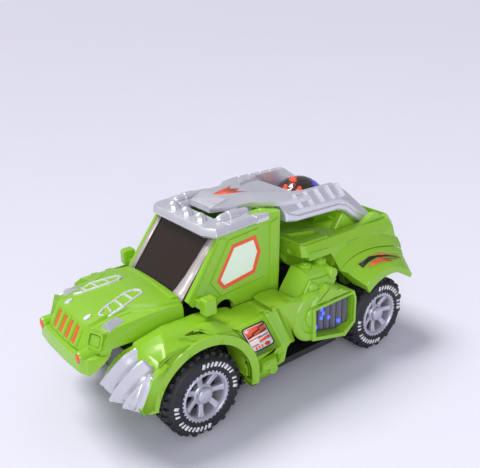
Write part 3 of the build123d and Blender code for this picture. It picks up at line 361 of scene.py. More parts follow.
# ---------------------------------------------------------------- wheels
def tyre_form(centre):
    """A chunky tyre on the left: a rounded carcass with shoulder lugs and two rows of tread blocks."""
    outer, inner = WHEEL_OUT_Y, WHEEL_IN_Y
    side = [(RIM_R - 0.2, -1.6), (RIM_R + 0.4, -0.3), (RIM_R + 1.2, 0.0), (RIM_R + 3.6, 0.25), (RIM_R + 5.4, -0.1),
            (TYRE_R - 1.8, -1.2), (TYRE_R - 1.0, -3.0)]
    profile = [(r, outer + dy) for r, dy in side] + [(r, inner - dy) for r, dy in reversed(side)]
    form = Form().turned(centre, profile, 120)
    for k in range(LUGS):
        angle = 360 * k / LUGS
        reach = 1.7 if k % 2 else 0.9
        form.sector(centre, angle, 4.3, outer - 4.6, outer - reach, TYRE_R - 2.6, TYRE_R, 0.5)
        form.sector(centre, angle, 4.3, inner + reach, inner + 4.6, TYRE_R - 2.6, TYRE_R, 0.5)
        form.sector(centre, angle + 6, 4.6, outer - 7.1, outer - 5.0, TYRE_R - 2.0, TYRE_R, 0.35)
        form.sector(centre, angle + 6, 4.6, inner + 5.0, inner + 7.1, TYRE_R - 2.0, TYRE_R, 0.35)
    return form


def tyre_marks(centre):
    """White slanted dashes on the sidewall, in two runs."""
    form = Form()
    dashes, gap_at, step, slant = 13, 9, 8.0, 1.4
    low, high = RIM_R + 2.5, RIM_R + 4.7
    for middle in (135.0, 315.0):
        for k in range(dashes):
            if k == gap_at:
                continue
            angle = middle - 48 + step * k
            a, b = radians(angle - slant), radians(angle + slant)
            foot = (centre[0] + low * cos(a), WHEEL_OUT_Y + 0.1, centre[1] + low * sin(a))
            head = (centre[0] + high * cos(b), WHEEL_OUT_Y + 0.1, centre[1] + high * sin(b))
            form.bar(foot, head, 0.95 if k % 3 else 1.5, 0.32, up=(0, 1, 0), sink=0.5)
    return form


def rim_form(centre):
    """A silver seven-spoke rim: toothed flange, barrel, dished spokes and a domed hub cap."""
    face = WHEEL_OUT_Y
    barrel = [(RIM_R - 0.1, face - 0.2), (RIM_R - 0.5, face + 0.35), (RIM_R - 1.2, face + 0.35),
              (RIM_R - 1.9, face - 0.6), (RIM_R - 2.1, face - 2.0), (RIM_R - 2.6, face - 12.0),
              (RIM_R - 0.6, face - 12.0), (RIM_R - 0.4, face - 1.2)]
    form = Form().turned(centre, barrel, 112)
    for k in range(FLANGE_TEETH):
        form.sector(centre, 360 * k / FLANGE_TEETH, 2.9, face - 0.7, face + 0.3, RIM_R - 0.8, RIM_R + 0.45, 0.2)
    for k in range(SPOKES):
        a = radians(180 + 360 * k / SPOKES)
        along, cross = (cos(a), sin(a)), (-sin(a), cos(a))
        rows = []
        for r, half, low, high in ((3.6, 1.5, -4.4, -2.7), (6.6, 1.35, -4.2, -2.3), (9.2, 1.45, -3.8, -1.6),
                                   (11.2, 2.0, -3.4, -0.7)):
            corners = [(-half, low), (half, low), (half, high - 0.35), (half * 0.55, high), (-half * 0.55, high),
                       (-half, high - 0.35)]
            rows.append([(centre[0] + r * along[0] + c * cross[0], face + y, centre[1] + r * along[1] + c * cross[1])
                         for c, y in corners])
        form.rings(rows)
    form.rod("y", centre, [(face - 5.0, 5.3), (face - 2.6, 5.3), (face - 2.1, 4.8)], SPOKES * 2, 180 / SPOKES)
    form.rod("y", centre, [(face - 12.0, 3.0), (face - 2.0, 3.0)], 24)
    form.rod("y", centre, [(face - 2.6, 4.1), (face - 1.2, 4.1), (face - 0.5, 3.75), (face - 0.1, 3.0),
                           (face + 0.1, 2.0), (face + 0.2, 0.9)], 36)
    return form


def make_wheels():
    """Four wheels: tread, sidewall print, rim and the dark back that closes the rim."""
    for end, axle_x in (("front", FRONT_AXLE_X), ("rear", REAR_AXLE_X)):
        centre = (axle_x, AXLE_Z)
        body = f"{end}_wheels"
        well = Form().rod("y", centre, [(WHEEL_OUT_Y - 9.0, RIM_R - 2.3), (WHEEL_OUT_Y - 8.0, RIM_R - 2.3)], 64)
        for side in ("left", "right"):
            def handed(form):
                return form if side == "left" else form.mirrored()

            wheel = f"{end}_{side}"
            piece(f"{wheel}_tyre_tread", handed(tyre_form(centre)), body, "tyre", [f"{wheel}_tyre"], 0.25)
            piece(f"{wheel}_tyre_marks", handed(tyre_marks(centre)), body, "tyre_mark", bevel=0)
            piece(f"{wheel}_spoked_rim", handed(rim_form(centre)), body, "chrome_rim", [f"{wheel}_rim"], 0.2)
            piece(f"{wheel}_rim_back", handed(well), body, "black", bevel=0.2)


# ---------------------------------------------------------------- front legs
def make_fenders():
    """Fender, side panel and knee of the front legs, in one moulding."""
    centre = (FRONT_AXLE_X, AXLE_Z)
    arch = arc(centre, 25.8, 191.5, 9.6, 40)
    outline = arch + [(80.4, 26.0), (82.0, 30.2), (76.0, 43.4), (73.4, 51.4), (59, 54.5), (41, 54.2), (24, 51.5),
                      (20.5, 50), (20.5, 18.6)]
    form = Form()
    form.stack("y", outline, [(28.4, 0.0), (33.0, 0.0), (39.6, 0.9), (44.8, 3.6)])
    form.band("y", arc(centre, 30.4, 190, 10, 40), arc(centre, 26.0, 191.5, 9.6, 40), 41.0, 46.7)
    # raised panel on top with two L-shaped ridges
    rows = []
    for y, x0, x1, z in ((30.0, 50.6, 52.6, 54.9), (33.2, 49.4, 62.4, 55.1), (38.4, 45.8, 64.6, 54.9),
                         (40.4, 37.6, 65.4, 54.4), (44.7, 32.0, 67.2, 50.6)):
        rows.append([(x0, y, z - 3.0), (x0, y, z - 0.3), (x0 + 0.6, y, z + 0.2), (x1 - 0.6, y, z + 0.2),
                     (x1, y, z - 0.3), (x1, y, z - 3.0)])
    form.rings(rows)
    for x in (56.0, 47.6):
        corner, foot = (x, 41.6, 53.7), (x - 4.4, 44.2, 51.5)
        form.bar((x + 2.8, 41.2, 54.0), corner, 0.8, 0.6, up=(0, 0.6, 0.8))
        form.bar(corner, foot, 0.8, 0.6, up=(0, 0.6, 0.8))
    # outer front corner beside the claws
    form.stack("y", [(82.2, 30.2), (76.0, 43.0), (68.0, 47.2), (65.4, 45.4), (72.0, 38), (74.6, 27.0), (80.4, 26.2)],
               [(41.0, 0.0), (45.6, 0.0), (46.8, 1.0)])
    # nose under the claws, between the first blade and the inner side of the leg
    rows = []
    for x, y, z in ((72.4, 28.6, 50.6), (77.0, 25.8, 47.6), (80.8, 23.8, 44.0), (83.4, 21.8, 39.4),
                    (84.4, 20.2, 36.0), (84.0, 19.6, 34.0)):
        rows.append([(x, y, z), (x, y + 4.2, z - 0.6), (x - 4.4, y + 5.4, z - 3.0), (x - 4.6, y + 0.8, z - 3.2)])
    form.rings(rows)
    # side panel, and the shin behind it
    panel = [(32.3, 50.2), (14.3, 51.2), (2.8, 29.2), (20.3, 29.6), (22.2, 37.0), (26.6, 44.4)]
    form.stack("y", panel, [(30.5, 0.0), (45.2, 0.0), (46.3, 1.0)])
    form.stack("y", [(22.5, 50.6), (14, 51.0), (5.5, 50.5), (-4, 45), (-8, 29), (-3.6, 25.2), (-1.7, 17.8), (6, 16.6),
                     (16.5, 18.9), (22.5, 18.9)], [(30.5, 0.0), (42.0, 0.0), (43.9, 1.2)])
    # raised rib between the panel and the knee
    form.bar((11.6, 43.6, 49.6), (1.2, 43.6, 29.4), 1.9, 1.7, up=(0, 1, 0), narrow=0.7)
    # knee: arched block with a stepped seat for the pod's disc
    knee = [(8.2, 52.5), (4.3, 53.4), (-0.5, 53.3), (-5, 52.6), (-14.4, 50.2), (-15.5, 46), (-4.8, 36), (-7.6, 28.6),
            (-3.5, 27.6), (2.4, 40.0)]
    form.stack("y", knee, [(30.5, 0.0), (43.6, 0.0), (46.1, 1.5)])
    # clamp under the panel, with its boss and pin
    form.stack("y", [(15.8, 19.4), (15.8, 25.6), (6.4, 26.6), (4.6, 22.0), (5.6, 18.6)],
               [(40.0, 0.0), (44.6, 0.0), (45.8, 0.8)])
    form.rod("y", (8.0, 18.9), [(38.0, 2.9), (45.4, 2.9), (46.4, 2.2)], 28)
    form.rod("y", (8.0, 18.9), [(45.8, 1.2), (47.0, 1.0)], 20)
    form.stack("y", [(13.6, 20.6), (13.6, 23.8), (10.6, 24.2), (10.6, 21.0)], [(44.0, 0.0), (46.4, 0.3)])
    form.block((5.0, 26, 15.2), (18.0, 44.0, 19.0))

    seat = Form().rod("y", KNEE, [(30.0, 14.2), (60.0, 14.2)], 64)
    deep = Form().rod("y", KNEE, [(26.0, 18.6), (43.6, 18.6)], 64)
    behind = Form().block((-30, 26.0, 44.0), (-5.6, 43.6, 60.0))
    slot_cut = Form().stack("y", [(4.7, 19.6), (6.0, 24.8), (4.2, 25.2), (2.8, 20.4)], [(42.6, 0.0), (50.0, 0.0)])
    well = Form().rod("y", centre, [(16.0, 25.6), (60.0, 25.7)], 80)
    pair("leg_moulding", form, "chassis", "green", ["{}_fender"], 0.5, [seat, deep, behind, slot_cut, well])


# each blade's crest and the groove below it, from the fender down to the tips
CLAW_LINES = [
    ([(74.2, 32.4, 51.1), (78.1, 30.4, 48.7), (81.5, 29.1, 46.3), (83.8, 27.1, 43.0), (86.1, 25.0, 39.0),
      (87.8, 21.9, 34.0), (87.0, 20.0, 31.6)],
     [(75.0, 35.6, 48.6), (78.2, 33.4, 46.2), (80.9, 32.0, 43.6), (83.3, 30.2, 40.0), (85.2, 27.9, 35.1),
      (86.4, 25.0, 30.0), (86.0, 23.4, 27.6)]),
    ([(75.6, 40.8, 50.0), (79.5, 39.6, 47.7), (83.1, 38.1, 44.2), (85.9, 36.0, 39.6), (88.0, 33.5, 34.5),
      (88.4, 30.8, 30.2), (87.6, 29.6, 27.8)],
     [(75.2, 43.0, 46.6), (78.4, 41.8, 43.9), (81.0, 40.2, 40.4), (83.2, 37.8, 36.6), (84.6, 35.6, 32.0),
      (84.9, 34.0, 29.0), (84.6, 33.2, 27.4)]),
    ([(75.6, 45.4, 45.0), (78.4, 44.0, 42.4), (80.9, 42.6, 39.6), (83.1, 40.6, 36.0), (84.8, 38.6, 32.0),
      (85.6, 37.2, 29.2), (85.2, 36.6, 27.4)],
     [(74.6, 46.6, 43.2), (76.8, 46.6, 40.0), (78.6, 46.6, 37.2), (80.2, 46.6, 34.4), (81.4, 46.4, 31.8),
      (82.0, 45.6, 29.6), (81.4, 44.4, 27.8)]),
]
CLAW_DEPTHS = (4.6, 4.6, 0.5)
CLAW_IN_AT_TOP, CLAW_IN_AT_TIP = Vector((-0.72, -0.15, -0.66)), Vector((-0.96, 0.0, -0.1))


def make_claws():
    """Three silver blades on each front leg: each has a sharp crest and a hollow face that falls outwards."""
    form = Form()
    lines = [(smooth_line(crest), smooth_line(groove), depth)
             for (crest, groove), depth in zip(CLAW_LINES, CLAW_DEPTHS)]
    rows = []
    count = len(lines[0][0])
    for k in range(count):
        share = k / (count - 1)
        inwards = CLAW_IN_AT_TOP.lerp(CLAW_IN_AT_TIP, share**3)
        row = [lines[0][0][k] + inwards * 6.0, lines[0][0][k] + inwards * 1.2]
        for crest, groove, depth in lines:
            drop = depth * (1 - 0.6 * share**3)
            high, deep = crest[k], groove[k] + inwards * drop + Vector((0.0, 0.4 * drop, 0.0))
            across = deep - high
            row += [high, high + across * 0.12 - inwards * 0.1, high + across * 0.2 + inwards * 0.35,
                    high + across * 0.5 - inwards * 0.06 * drop, high + across * 0.82 - inwards * 0.16 * drop, deep]
        rows.append([*row, row[-1] + inwards * 5.0])
    form.rings(rows)
    # the plate that joins the blades behind
    form.stack("y", [(82.4, 29.6), (84.2, 30.0), (83.4, 34), (78.4, 42), (72.6, 46.4), (74.0, 42.0), (80.0, 33.0)],
               [(27.4, 0.0), (44.0, 0.0)])
    pair("claw_blades", form, "chassis", "claw", ["{}_claws"], 0)


POD_WINDOW = [(-18.6, 42.0), (-45.2, 42.6), (-46.6, 39.2), (-46.6, 26.8), (-39.4, 22.4), (-19.4, 27.0)]
THIGH = [(-16.7, 61.9), (-35.5, 60.3), (-40.6, 54.6), (-33, 44), (-19, 38.5), (-5.2, 44.6), (-9.4, 51.6)]


def make_thighs():
    """Thighs with the engine pods: moulding, ribbed dark window and the lights behind it."""
    form = Form()
    form.stack("y", THIGH, [(30.5, 0.0), (36.5, 0.0), (42.2, 2.2)])
    form.stack("y", [(-18.4, 57.4), (-33.6, 56.2), (-37.4, 52.6), (-33, 47), (-12, 48)],
               [(38.0, 0.0), (42.6, 0.0), (43.1, 0.5)])
    pod = [(-19, 51.0), (-27, 54.4), (-46.2, 44.6), (-48.4, 39.6), (-48.4, 25.4), (-41.0, 19.2), (-19, 25.4)]
    form.stack("y", pod, [(33.0, 0.0), (43.0, 0.0), (45.6, 1.6)])
    # frame round the window, its inner edge sloped
    rim = [(-16.4, 43.8), (-46.6, 44.4), (-48.4, 39.6), (-48.4, 25.4), (-41.0, 19.4), (-16.6, 25.4)]
    form.band("y", shrink(rim, 0.1), shrink(POD_WINDOW, -0.2), 40.0, 47.4)
    # crest from the disc up to the pod's top corner, with a groove below it
    form.stack("y", [(-15.5, 43.6), (-19.0, 50.4), (-27.2, 53.6), (-45.6, 44.6)],
               [(42.0, 0.0), (45.2, 0.0), (47.0, 1.6)])
    form.stack("y", rounded((-37.4, 46.6), (-32.6, 49.0), 1.0), [(44.0, 0.0), (47.2, 0.0), (47.5, 0.3)])
    form.rod("y", KNEE, [(33.0, 13.8), (45.0, 13.8), (46.2, 12.6), (46.3, 9.4), (45.6, 8.8)], 80)
    form.rod("y", KNEE, [(44.0, 6.0), (46.2, 6.0), (46.8, 5.4)], 48)
    for x in (-22.4, -33.0):
        form.rod("z", (x, 34.8), [(58.0, 3.3), (61.9, 3.3), (62.4, 2.8)], 32)
        form.rod("z", (x, 34.8), [(62.0, 1.6), (62.9, 1.3)], 24)
    for x, z in ((-19.6, 53.0), (-33.6, 57.0)):
        form.rod("y", (x, z), [(40.0, 2.9), (44.0, 2.9), (44.6, 2.3)], 28)

    hollow = Form().stack("y", POD_WINDOW, [(41.0, 0.0), (60.0, 0.0)])
    open_knee = Form().stack("y", [(-18.6, 41.0), (-5.2, 46.0), (4.0, 46.0), (4.0, 20.0), (-18.6, 20.0)],
                             [(26.0, 0.0), (43.4, 0.0)])
    front = Form().block((-5.2, 20.0, 20.0), (10.0, 43.2, 44.5))
    pin = Form().rod("y", KNEE, [(20.0, 1.6), (43.8, 1.6)], 24)
    groove = Form().bar((-20.6, 45.2, 46.4), (-28.2, 45.2, 51.4), 0.8, 3.0, up=(0, 1, 0), sink=0.0)
    pair("thigh_and_pod", form, "{}_thigh", "green", ["{}_thigh"], 0.45, [open_knee, front, hollow, pin, groove])

    lens = Form().stack("y", shrink(POD_WINDOW, -0.6), [(41.1, 0.0), (42.2, 0.0)])
    for k in range(6):
        x = -21.3 - 4.5 * k
        bottom = 28.6 - 0.23 * (-x - 19.4) if x > -40 else 24.6
        lens.stack("y", rounded((x - 1.9, bottom), (x + 1.9, 41.4), 1.2), [(41.6, 0.0), (43.4, 0.0), (44.6, 1.1)])
    pair("pod_window_ribs", lens, "{}_thigh", "lens", ["{}_pod_lens"], 0.25)
    glow = Form()
    for x, z in ((-25.6, 39.4), (-26.6, 36.8), (-25.4, 34.6), (-21.6, 30.4), (-30.6, 33.2), (-38.4, 28.4)):
        glow.stack("y", rounded((x - 0.8, z - 1.0), (x + 0.8, z + 1.0), 0.5), [(43.6, 0.0), (44.7, 0.0), (44.9, 0.2)])
    pair("pod_lights", glow, "{}_thigh", "blue_glow", bevel=0)


# ---------------------------------------------------------------- hood
# x, then lower edge z, half width, side z, shoulder y and z, top panel's y and z, middle z
HOOD_STATIONS = [
    (46.0, 50.5, 27.0, 57.0, 26.2, 60.0, 24.4, 61.0, 62.3),
    (56.0, 50.5, 27.0, 57.0, 26.2, 60.6, 23.4, 62.4, 64.2),
    (62.0, 50.5, 26.8, 56.4, 25.6, 60.3, 19.4, 62.9, 64.2),
    (67.0, 50.5, 26.6, 55.6, 25.0, 59.8, 16.4, 62.7, 63.8),
    (75.0, 50.5, 26.2, 54.2, 24.0, 58.8, 15.2, 61.7, 62.6),
    (82.0, 50.5, 25.9, 53.2, 23.2, 57.9, 15.2, 60.5, 61.1),
    (88.0, 50.5, 25.0, 52.0, 21.5, 56.8, 15.2, 59.0, 59.4),
]


def hood_station(x):
    """The hood's sizes at x, between the stations on each side of it."""
    for near, far in zip(HOOD_STATIONS, HOOD_STATIONS[1:]):
        if x <= far[0]:
            break
    t = (x - near[0]) / (far[0] - near[0])
    return [a + (b - a) * t for a, b in zip(near, far)]


def hood_z(x, y):
    """The height of the hood's top at a place."""
    _, _, _, _, mid_y, mid_z, panel_y, panel_z, top = hood_station(x)
    if abs(y) <= panel_y:
        return top + (panel_z - top) * (abs(y) / panel_y) ** 2
    return panel_z - 1.3 + (mid_z - panel_z + 1.3) * (abs(y) - panel_y) / (mid_y - panel_y)


def hood_ring(x, inset, drop):
    """The hood's section at x, inset all round and lengthened downwards by drop."""
    _, low, wide, side_z, mid_y, mid_z, panel_y, panel_z, top = hood_station(x)
    half = [
        (wide - inset, low - drop), (wide - inset, side_z - inset), (mid_y - inset, mid_z - inset),
        (panel_y + 0.6 - inset, panel_z - 1.3 - inset), (panel_y - inset, panel_z - inset),
        (0.55 * panel_y - inset, hood_z(x, 0.55 * panel_y) - inset),
    ]
    return [(x, y, z) for y, z in half] + [(x, 0, top - inset)] + [(x, -y, z) for y, z in reversed(half)]


def mirrored_ring(half, middle):
    """A ring from its left half, its middle point and the mirror image."""
    return half + [middle] + [(x, -y, z) for x, y, z in reversed(half)]


BROW = mirrored_ring([(83.5, 25.8, 48.0), (83.9, 25.7, 53.0), (85.2, 23.0, 57.2), (87.0, 17.4, 58.2),
                      (88.0, 15.2, 59.0), (88.0, 8.2, 58.8)], (88.0, 0, 58.7))
CHIN = mirrored_ring([(86.8, 25.0, 46.5), (87.2, 24.9, 49.6), (89.8, 21.5, 50.0), (92.4, 16.8, 49.6),
                      (93.0, 15.0, 49.3), (93.6, 8.2, 49.1)], (93.8, 0, 49.0))
BUMPER = [(79, 26.4), (86.5, 26.8), (93.8, 25.2), (95.7, 20.5), (96.5, 9.5), (96.5, -9.5), (95.7, -20.5),
          (93.8, -25.2), (86.5, -26.8), (79, -26.4)]
GRILLE_FOOT, GRILLE_HEAD = Vector((93.6, 0, 49.6)), Vector((88.3, 0, 58.4))
SLOT_YS = (-9.3, -3.1, 3.1, 9.3)
BUMPER_LIGHT_Y, BUMPER_LIGHT_Z = 19.4, 48.0


def grille_point(t, y, lift):
    """A place on the grille's slanted face, t from its foot to its head."""
    out = Vector((GRILLE_HEAD.z - GRILLE_FOOT.z, 0, GRILLE_FOOT.x - GRILLE_HEAD.x)).normalized()
    return GRILLE_FOOT + (GRILLE_HEAD - GRILLE_FOOT) * t + out * lift + Vector((-0.0035 * y * y * (1 - t), y, 0))


def make_hood():
    """Hood and bumper in one moulding, the orange grille and lights, and the silver trim."""
    xs = (46.0, 51.0, 56.0, 59.0, 62.0, 64.5, 67.0, 71.0, 75.0, 79.0, 82.0)
    form = Form().rings([hood_ring(x, 0, 0) for x in xs] + [BROW, CHIN])
    form.stack("z", BUMPER, [(40.6, 0.9), (41.5, 0.0), (46.6, 0.3), (48.2, 0.8), (48.5, 2.6)])
    # upright ribs between the grille slots, and the rolled edge along the brow
    for y in (-12.4, -6.2, 0.0, 6.2, 12.4):
        rows = []
        for t, lift in ((0.02, 0.2), (0.12, 0.8), (0.8, 0.9), (0.97, 0.2)):
            section = ((-1.5, -1.0), (-1.3, lift * 0.5), (-0.6, lift), (0.6, lift), (1.3, lift * 0.5), (1.5, -1.0))
            rows.append([grille_point(t, y + dy, out) for dy, out in section])
        form.rings(rows)
    # square headlights on the front corners, and the barrels of the bumper lights
    for side in (-1, 1):
        middle = Vector((87.25, side * 21.5, 54.7))
        across = Vector((-2.6, side * 5.4, -0.7)).normalized()
        up = Vector((-1.9, side * -0.9, 7.0))
        up = (up - across * up.dot(across)).normalized()
        out = across.cross(up) * side
        for size, hole, low, high in ((3.9, 2.9, -2.5, 1.0), (2.3, 0.0, -2.5, 0.5)):
            ring = rounded((-size, -size), (size, size), size * 0.4)

            def spot(p, depth):
                return middle + across * p[0] + up * p[1] + out * depth

            if hole:
                inner = rounded((-hole, -hole), (hole, hole), hole * 0.35)
                form.rings([[spot(p, low) for p in ring], [spot(p, high) for p in ring],
                            [spot(p, high) for p in inner], [spot(p, low) for p in inner]], closed=True)
            else:
                form.rings([[spot(p, low) for p in ring], [spot(p, high) for p in ring]])
        form.rod("x", (side * BUMPER_LIGHT_Y, BUMPER_LIGHT_Z), [(84.0, 3.2), (94.2, 3.2), (95.4, 2.7)], 32)
        # raised line that follows the panel's edge
        path = [(86.8, 17.9), (82.0, 18.2), (75.0, 18.2), (68.0, 19.2), (63.0, 22.0), (58.5, 24.6)]
        for (ax, ay), (bx, by) in zip(path, path[1:]):
            form.bar((ax, side * ay, hood_z(ax, ay) - 0.1), (bx, side * by, hood_z(bx, by) - 0.1), 1.1, 0.5,
                     narrow=0.4)
    # cowl step across the rear
    form.rings([[(x, y, z) for x, z in ((45.2, 57), (45.2, hood_z(46, y) + 0.4), (47.2, hood_z(47.2, y) + 0.9),
                                        (49.4, hood_z(49.4, y) + 0.3), (49.4, 57))] for y in (-22, -12, 0, 12, 22)])
    hollow = [hood_ring(x, 2.0, 3) for x in (46.0, 56.0, 67.0, 75.0, 81.0)]
    hollow[0] = [(x - 1.0, y, z) for x, y, z in hollow[0]]
    inside = Form().rings(hollow)
    slots = Form()
    for y in SLOT_YS:
        slots.rings([[grille_point(t, y + dy, lift)
                      for t, lift in ((0.06, -1.4), (0.06, 3.0), (0.86, 3.0), (0.86, -1.4))] for dy in (-1.15, 1.15)])
    # the bumper's ends rise towards the rear
    rise = Form().stack("y", [(70, 36), (92.6, 36), (93.2, 41.0), (86.7, 45.2), (81.6, 49.2), (76, 50.3), (70, 50.3)],
                        [(-40, 0.0), (40, 0.0)])
    # bores of the bumper lights, and room for the cab's corners
    openings = Form()
    for side in (-1, 1):
        openings.rod("x", (side * BUMPER_LIGHT_Y, BUMPER_LIGHT_Z), [(94.2, 2.2), (110, 2.2)], 32)
    openings.block((40, 24.0, 40), (45.0, 30.0, 56))
    openings.block((40, -30.0, 40), (45.0, -24.0, 56))
    piece("hood_moulding", form, "front_body", "green", ["hood"], 0.4, [inside, rise, slots, openings])

    lights = Form()
    for y in SLOT_YS:
        lights.rings([[grille_point(t, y + dy, lift)
                       for t, lift in ((0.07, -2.0), (0.07, 0.15), (0.85, 0.15), (0.85, -2.0))]
                      for dy in (-1.1, 1.1)])
    for side in (-1, 1):
        lights.rod("x", (side * BUMPER_LIGHT_Y, BUMPER_LIGHT_Z), [(92.0, 2.1), (95.2, 2.1), (95.9, 1.5)], 28)
    piece("grille_and_bumper_lights", lights, "front_body", "orange", ["front_lights"], 0.15)

    trim = Form()
    # ladder-shaped vents
    frame_line = [(80.8, 12.6), (77.0, 10.4), (64.5, 7.0), (60.4, 7.0), (57.6, 8.8), (58.4, 12.0), (70.0, 15.6),
                  (78.0, 15.4)]
    for (ax, ay), (bx, by) in zip(frame_line, frame_line[1:] + frame_line[:1]):
        trim.bar((ax, ay, hood_z(ax, ay)), (bx, by, hood_z(bx, by)), 0.95, 0.8, narrow=0.6)
    for ax, ay, bx, by in ((75.2, 10.2, 75.8, 15.2), (70.4, 8.8, 70.2, 15.2), (65.0, 7.4, 64.2, 13.6)):
        trim.bar((ax, ay, hood_z(ax, ay)), (bx, by, hood_z(bx, by)), 0.9, 0.7, narrow=0.6)
    # oval dots near the grille
    dot = [(84.9 + 1.9 * u, 9.8 + 1.2 * v) for u, v in arc((0, 0), 1, 0, 345, 24)]
    trim.rings([[(x, y, hood_z(x, y) + lift) for x, y in dot] for lift in (-0.4, 0.45)])
    trim.both()
    piece("hood_vents", trim, "front_body", "bright", bevel=0.12)
    # faceted marker lights on the shoulders
    marker = Form()
    base = [(83.4, 19.2), (74.6, 17.8), (73.2, 22.2), (81.6, 23.9)]
    top = [(81.7, 20.6), (78.6, 19.9), (78.3, 20.4), (81.4, 21.2)]
    marker.rings([[(x, y, hood_z(x, y) - 0.8) for x, y in base], [(x, y, hood_z(x, y) + 0.15) for x, y in base],
                  [(x, y, hood_z(80.7, 20.6) + 2.4) for x, y in top]])
    marker.both()
    piece("hood_markers", marker, "front_body", "claw", bevel=0.12, angle=12)


# ---------------------------------------------------------------- cab
# z, rear x, front x, half width
CAB_LEVELS = [(48.8, -10.3, 35.4, 28.0), (60.0, -11.3, 43.8, 27.6), (91.0, -13.6, 21.4, 25.9)]
WINDOW = [(3.6, 81.8), (1.2, 73.9), (5.2, 64.2), (23.6, 61.4), (26.7, 65.8), (16.9, 80.7)]


def cab_rows(inset, low_extra=0.0, top_extra=0.0):
    """The cab's levels, inset all round, with its lowest moved down and its highest moved up."""
    rows = []
    for z, rear, front, half in CAB_LEVELS:
        level = z - (low_extra if z < 50 else 0) + (top_extra if z > 90 else 0)
        x0, x1, y = rear + inset, front - inset, half - inset
        rows.append([(x0, -y, level), (x1, -y, level), (x1, y, level), (x0, y, level)])
    return rows


def cab_half(z):
    """Half the cab's width at a height."""
    for low, high in zip(CAB_LEVELS, CAB_LEVELS[1:]):
        if z <= high[0]:
            break
    t = (z - low[0]) / (high[0] - low[0])
    return low[3] + (high[3] - low[3]) * t


def on_side(outline, lift):
    """An outline laid on the cab's left side, lifted off it."""
    return [(x, cab_half(z) + lift, z) for x, z in outline]


def make_cab():
    """Cab shell with its side frames and mirrors, and the windows with their orange borders."""
    form = Form().rings(cab_rows(0))
    sides = Form()
    frame_line = shrink(WINDOW, -4.0)
    sides.rings([on_side(frame_line, -1.0), on_side(shrink(frame_line, 0.7), 0.7), on_side(WINDOW, 0.7),
                 on_side(WINDOW, -1.0)], closed=True)
    # pillar at the rear with its recess, and the sill line under the window
    post_line = [(-10.0, 52.0), (-3.4, 52.0), (-5.8, 86.6), (-12.6, 88.8)]
    sides.rings([on_side(post_line, -1.2), on_side(shrink(post_line, 0.8), 0.8)])
    sill = [(-2.6, 49.4), (33.6, 49.4), (38.4, 56.0), (27.0, 58.2), (-2.9, 60.4)]
    sides.rings([on_side(sill, -1.2), on_side(shrink(sill, 0.8), 0.6)])
    # front pillar
    pillar = [(36.2, 58.0), (42.8, 58.6), (24.2, 86.2), (19.6, 85.6)]
    sides.rings([on_side(pillar, -2.6), on_side(shrink(pillar, 0.5), 0.5)])
    # door mirror on its stalk
    sides.stack("x", rounded((34.0, 56.4), (39.4, 65.0), 1.2), [(35.4, 0.9), (36.4, 0.0), (41.2, 0.0), (42.2, 0.9)])
    sides.stack("x", [(26.0, 57.2), (35.0, 57.8), (35.0, 60.6), (26.0, 61.6)], [(36.6, 0.0), (40.6, 0.0)])
    sides.rod("z", (-8.4, 18.0), [(86.0, 2.4), (90.9, 2.4), (91.3, 1.9)], 24)
    form.join(sides.both())

    roof = [(-30, 90.6), (24, 87.2), (60, 87.2), (60, 110), (-30, 110)]
    cuts = [
        Form().rings(cab_rows(2.0, 3.0, -3.2)),
        Form().stack("y", [(-30, 91.5), (-8, 90.9), (24, 87.4), (60, 87.4), (60, 110), (-30, 110)],
                     [(-17.0, 0.0), (17.0, 0.0)]),
        Form().stack("y", roof, [(-15.6, 0.0), (15.6, 0.0)]),
        Form().stack("y", [(52, 58.6), (32, 86.2), (10, 86.2), (10, 58.6)], [(-24.4, 0.0), (24.4, 0.0)]),
        Form().block((28, -25.6, 45), (50, 25.6, 58.7)),
        Form().block((-20, -20.3, 40), (0, 20.3, 51.5)),
        Form().block((36, -29.6, 45), (50, 29.6, 57.0)),
        Form().block((-20, -14.5, 54), (18.5, 14.5, 110)),
        Form().stack("y", WINDOW, [(-60, 0.0), (60, 0.0)]),
    ]
    for side in (-1, 1):
        cuts.append(Form().rod("y", (24.0, 49.6), [(side * 20.0, 5.8), (side * 40.0, 5.8)], 32))
    piece("cab_moulding", form, "front_body", "green", ["cab_shell"], 0.45, cuts)

    frames, panes = Form(), Form()
    frames.rings([on_side(shrink(WINDOW, inset), lift)
                  for inset, lift in ((-0.7, 0.2), (-0.7, 0.85), (1.1, 0.85), (1.1, 0.2))], closed=True)
    panes.rings([on_side(shrink(WINDOW, 0.05), -1.0), on_side(shrink(WINDOW, 0.05), 0.35)])
    pair("window_border", frames, "front_body", "orange", bevel=0.15)
    pair("window_pane", panes, "front_body", "mint", ["{}_window"], 0.2)


def glass_point(t, y, lift):
    """A place on the windshield: t runs from its foot to its head, lift is square to the glass."""
    foot, head = (45.9, 58.8), (24.4, 86.0)
    run = hypot(head[0] - foot[0], head[1] - foot[1])
    out = ((head[1] - foot[1]) / run, (foot[0] - head[0]) / run)
    x = foot[0] + (head[0] - foot[0]) * t + out[0] * lift
    z = foot[1] + (head[1] - foot[1]) * t + out[1] * lift
    return (x, y, z)


